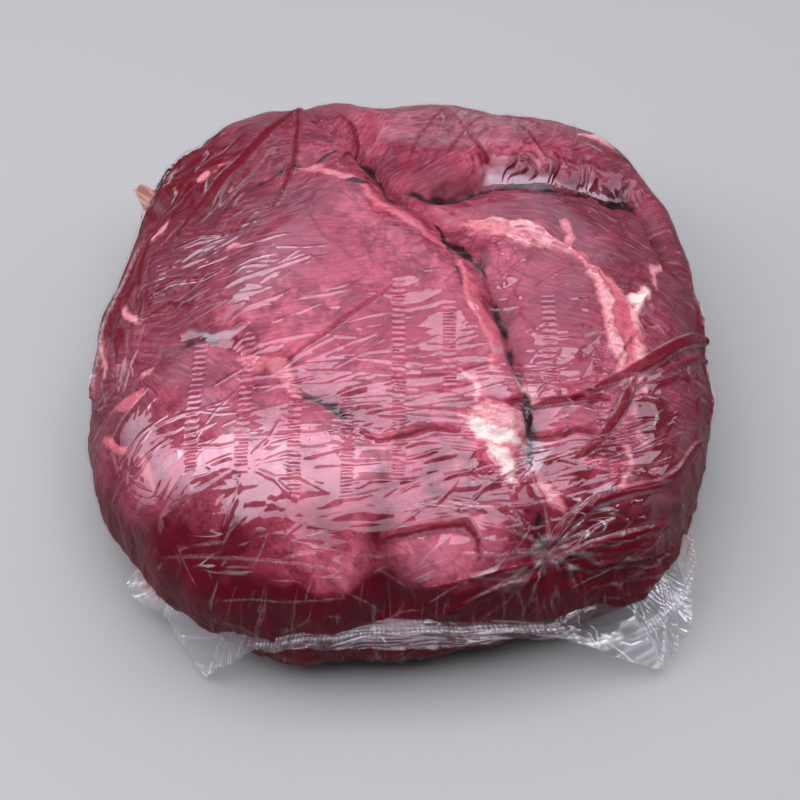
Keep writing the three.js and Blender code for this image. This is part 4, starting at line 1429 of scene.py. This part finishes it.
# %% Stations of the sheets: azimuth in degrees, root height, edge reach and edge height
SKIRT = [
    (-139, 24, 145, 18), (-135, 25, 144, 13), (-130, 28, 141, 13), (-126, 31, 144, 9),
    (-120.5, 37, 149.5, 4), (-117, 44, 144, 18), (-113, 48, 141, 30), (-108, 50, 139, 37),
    (-100, 49, 137, 43), (-90, 48, 136.5, 46), (-77, 44, 137, 44), (-69, 38, 138, 40),
    (-64, 35, 139.5, 32), (-60, 35, 144, 24), (-56.5, 36, 150, 14), (-53, 35, 157, 8),
    (-50.5, 32, 164, 5), (-47.5, 29, 163, 8), (-45, 26, 161, 13), (-41.5, 26, 156, 18),
    (-39, 30, 151, 24), (-36, 36, 143, 36),
]
BACK_LIP = [
    (56, 42, 132, 40), (70, 42, 131, 42), (84, 42, 129, 38), (98, 42, 128, 42),
    (112, 42, 134, 39), (124, 42, 137, 41),
]
EAR = [
    (141, 52, 124, 54), (143, 51, 131, 54), (145, 50, 141, 52), (147, 48, 132, 48),
    (149, 46, 124, 44),
]
print("the skirt runs round", SKIRT[-1][0] - SKIRT[0][0], "degrees of the pack")


# %% Where a sheet starts, and how it is folded and sealed
def skin_reach(angle, height):
    """Distance from the middle to the smooth skin at a height: the profile turned round."""
    level = WIDEST_LEVEL + WIDEST_LEAN * np.sin(angle)
    under = np.arcsin(np.clip((level - height) / level, 0.0, 1.0))
    below = FOOT + (1 - FOOT) * np.cos(under)
    rise = np.clip((height - level) / (HEIGHT - level), 0.0, 1.0)
    above = np.sin(np.arccos(rise ** (CROWN / 2))) ** (2 / CROWN)
    return plan_radius(angle) * np.where(height < level, below, above)


def sheet_folds(around, away, droop, seed):
    """Creases that run outwards where the sheet droops, and along it where it stands level."""
    outward = creased(around / 8.0 + 0.12 * away, away / 50.0, seed + 2) - 0.35
    outward = outward + 0.4 * (creased(around / 3.4 - 0.1 * away, away / 14.0, seed + 3) - 0.35)
    lengthwise = creased(around / 55.0, away / 4.0, seed + 4) - 0.35
    lengthwise = lengthwise + 0.5 * (creased(around / 24.0, away / 1.7, seed + 5) - 0.35)
    return droop * outward + (1 - droop) * lengthwise


def heat_seal(around, away, droop):
    """The seal's band, with soft edges, and its dots, where two cosines add up to the most."""
    across_dots = 0.5 * sum(np.cos(2 * np.pi * length / SEAL_DOT) for length in (around, away))
    place = ROOT_DEPTH + SEAL_AWAY + SEAL_SHIFT * droop
    band = np.exp(-(((away - place) / SEAL_HALF_WIDTH) ** 4))
    return band, smooth(-0.2, 0.7, across_dots)


ROOT_DEPTH = 7.0
SEAL_AWAY = 4.0
SEAL_SHIFT = 6.0  # how much farther out the seal lies where the sheet droops
SEAL_HALF_WIDTH = 1.8
SEAL_DOT = 1.9
print("the heat seal is", 2 * SEAL_HALF_WIDTH, "mm wide")


# %% A thin closed sheet from a grid
def on_both(values):
    """A grid's values for the upper face and, the other way round, for the lower face."""
    return np.concatenate([values, values[:, ::-1]], 1)


def closed_sheet(points):
    """Points and faces of a sheet: the grid moved out and in by half a thickness, and closed."""
    shift = grid_normals(points) * SHEET_THICKNESS / 2
    both = np.concatenate([points + shift, (points - shift)[:, ::-1]], 1)
    rows, turns = points.shape[1] - 1, both.shape[1]
    at = np.arange(both.shape[0] * turns).reshape(-1, turns)
    after = np.roll(at, -1, 1)
    skin = np.stack([k.ravel() for k in (at[:-1], at[1:], after[1:], after[:-1])], -1)
    near, far = np.arange(rows), turns - 1 - np.arange(rows)
    first = np.stack([at[0, near], at[0, near + 1], at[0, far - 1], at[0, far]], -1)
    last = np.stack([at[-1, near + 1], at[-1, near], at[-1, far], at[-1, far - 1]], -1)
    return both.reshape(-1, 3), [skin, first, last]


SHEET_THICKNESS = 0.3  # thicker than real film, so that both faces still render apart
print("the sheets are", SHEET_THICKNESS, "mm thick")


# %% A sheet of film
def film_sheet(name, stations, cells, rows, crease, haze_and_highlight, seed, stains=()):
    """Level lines from the root to the free edge, with a belly, pleats, creases and a seal.

    The edge is ragged by waves of two sizes that grow as v^3. A stain is a brownish spot:
    its middle and reaches along and out from the root, as shares, and how strong it is.
    """
    u, v = np.meshgrid(np.linspace(0, 1, cells + 1), np.linspace(0, 1, rows + 1), indexing="ij")
    spots = np.linspace(0, 1, len(stations))
    columns = np.array(stations, float).T
    degrees, root_height, reach, edge_height = (np.interp(u, spots, c) for c in columns)
    angle = np.radians(degrees)
    around = angle * reach
    ragged = 1.2 * waves(around / 13, 0 * u, seed) + 0.7 * waves(around / 4, 0 * u, seed + 1)
    root = skin_reach(angle, root_height) - ROOT_DEPTH
    out = root + (reach + ragged * v**3 - root) * v + SHEET_BELLY * np.sin(np.pi * v)
    away = out - root
    droop = smooth(36.0, 20.0, edge_height)
    folds = sheet_folds(around, away, droop, seed)
    seal, dots = heat_seal(around, away, droop)
    height = root_height + (edge_height - root_height) * v
    height += PLEAT_HEIGHT * v * np.sin(2 * np.pi * around / PLEAT_PITCH)
    height += crease * v * (0.6 + 1.6 * droop) * folds + SEAL_DOT_HEIGHT * seal * dots
    # A faint milkiness all over the sheet, and white along its folds that is painted highlight;
    # the seal's milky band and dots below are the seal's own.
    milky_and_highlight = haze_and_highlight * (0.2 + 1.4 * (0.22 + droop) * smooth(0.2, 0.6, folds))
    milky_and_highlight += seal * (0.1 + 0.6 * dots) * (0.3 + 0.7 * droop)
    line_along = droop * away + (1 - droop) * around
    line_across = droop * around - (1 - droop) * away
    fields = {
        "map_place": as_places(around, away),
        "line_place": as_places(line_along / 30.0, line_across / 5.0),
        "faces": 0.4 + 1.6 * droop,
        "haze_and_highlight": milky_and_highlight,
        "lined": 0.45 + 0.45 * droop,
        "stained": soft_spots(u, v, stains) + 0 * u,
    }
    points, faces = closed_sheet(np.stack([out * np.cos(angle), out * np.sin(angle), height], -1))
    fields = {
        field: on_both(values).reshape((len(points), 3) if values.ndim == 3 else -1)
        for field, values in fields.items()
    }
    dress(new_mesh(name, points, faces, None, fields), film)
    print(name, "reaches", round(float(out.max()), 1), "mm from the middle")


PLEAT_PITCH = 26.0
PLEAT_HEIGHT = 1.6
SHEET_BELLY = 1.5
SEAL_DOT_HEIGHT = 0.5
SKIRT_STAINS = [(0.04, 0.35, 0.05, 0.3, 0.9), (0.99, 0.7, 0.03, 0.4, 0.7)]
film_sheet("seal_skirt", SKIRT, 820, 46, 1.15, 0.11, 81, SKIRT_STAINS)
film_sheet("back_lip", BACK_LIP, 240, 10, 0.8, 0.15, 85)
film_sheet("corner_ear", EAR, 80, 30, 0.4, 0.1, 89, [(0.5, 0.5, 0.8, 0.9, 1.2)])

# %% [markdown]
# ## Floor, light and camera
# Film shows its lights as sharp patches, so their places matter more than their strength. A
# large soft box hangs over the pack, left of the middle: the film's slopes that lean towards
# the camera mirror it as broad pale patches. Two smaller boxes give the left and the right
# side their thin bright lines. A dim card far behind glows most in its middle, and lays a
# faint veil over the flat top. Nothing bright stands in front, so the front slope stays deep
# red. The camera looks down over the seal skirt through a long lens, as for a product photo.


# %% Floor and soft boxes
def floor():
    """A plain pale floor: matt painted board, which has no shine to take the eye."""
    bpy.ops.mesh.primitive_plane_add(size=8.0, location=(0.0, 0.0, 0.0))
    plane = bpy.context.object
    plane.name = "floor"
    material = new_material("pale floor")
    surface = add_node(material, "BsdfPrincipled", {
        "Base Color": linear("#9c9d9d"), "Roughness": 0.6, "Specular IOR Level": 0.2,
    })
    add_node(material, "OutputMaterial", [surface])
    plane.data.materials.append(material)
    return plane


def soft_box(name, place, aim, width, depth, watts):
    """A rectangular light that faces a point."""
    light = bpy.data.lights.new(name, "AREA")
    light.shape = "RECTANGLE"
    light.size, light.size_y = width, depth
    light.energy = watts
    light.color = linear("#faf8ff")[:3]
    lamp = bpy.data.objects.new(name, light)
    lamp.location = place
    lamp.rotation_euler = (Vector(aim) - Vector(place)).to_track_quat("-Z", "Y").to_euler()
    bpy.context.scene.collection.objects.link(lamp)
    return lamp


# Name, place, aim, width, depth and watts, in metres
BOXES = [
    ("key box", (-0.475, -0.075, 1.2), (-0.475, -0.075, 0.0), 2.15, 0.95, 30.0),
    ("left box", (-1.75, -0.05, 0.85), (0.0, -0.05, 0.06), 0.9, 0.95, 6.5),
    ("right box", (1.45, 0.3, 1.1), (0.2, 0.2, 0.06), 0.9, 1.1, 10.0),
]
print(len(BOXES), "soft boxes,", sum(row[-1] for row in BOXES), "watts in all")


# %% The card behind, and the dim room
def glow_card(name, place, aim, width, depth, strength):
    """A panel that glows most in its middle and fades to nothing at its rim."""
    bpy.ops.mesh.primitive_plane_add(size=1.0, location=place)
    card = bpy.context.object
    card.name = name
    card.scale = (width, depth, 1.0)
    card.rotation_euler = (Vector(place) - Vector(aim)).to_track_quat("-Z", "Y").to_euler()
    material = new_material(name)
    middle = add_node(material, "TexCoord", output="Object")
    away = add_node(material, "VectorMath", [middle], output="Value", operation="LENGTH")
    ends = [away, 0.5, 0.12, 0.0, strength]
    glow = add_node(material, "MapRange", ends, interpolation_type="SMOOTHSTEP")
    light = add_node(material, "Emission", {"Color": linear("#f2f5ff"), "Strength": glow})
    add_node(material, "OutputMaterial", [light])
    card.data.materials.append(material)
    card.visible_camera = False
    return card


back_card = glow_card("back card", (0.1, 1.3, 1.75), (0.0, 0.0, 0.05), 4.4, 3.2, 1.3)
floor()
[soft_box(*row) for row in BOXES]
world = bpy.data.worlds.new("dim room")
world.use_nodes = True
background = world.node_tree.nodes["Background"]
background.inputs["Color"].default_value = linear("#ffffff")
background.inputs["Strength"].default_value = 0.11
bpy.context.scene.world = world
print("the card is", back_card.scale.x, "by", back_card.scale.y, "m")

# %% Camera: an 85 mm lens, 57 degrees above the floor, looking over the seal skirt
CAMERA_RISE = math.radians(57.0)
CAMERA_AWAY = 0.774
CAMERA_AIM = Vector((-0.00025, -0.01755, 0.04))
towards_camera = Vector((0.0, -math.cos(CAMERA_RISE), math.sin(CAMERA_RISE)))

camera = bpy.data.cameras.new("camera")
camera.lens, camera.sensor_width = 85.0, 36.0
view = bpy.data.objects.new("camera", camera)
view.location = CAMERA_AIM + CAMERA_AWAY * towards_camera
view.rotation_euler = (-towards_camera).to_track_quat("-Z", "Y").to_euler()
bpy.context.scene.collection.objects.link(view)
bpy.context.scene.camera = view
bpy.context.scene.view_settings.view_transform = "Standard"
print("the camera stands", round(view.location.z, 3), "m above the floor")
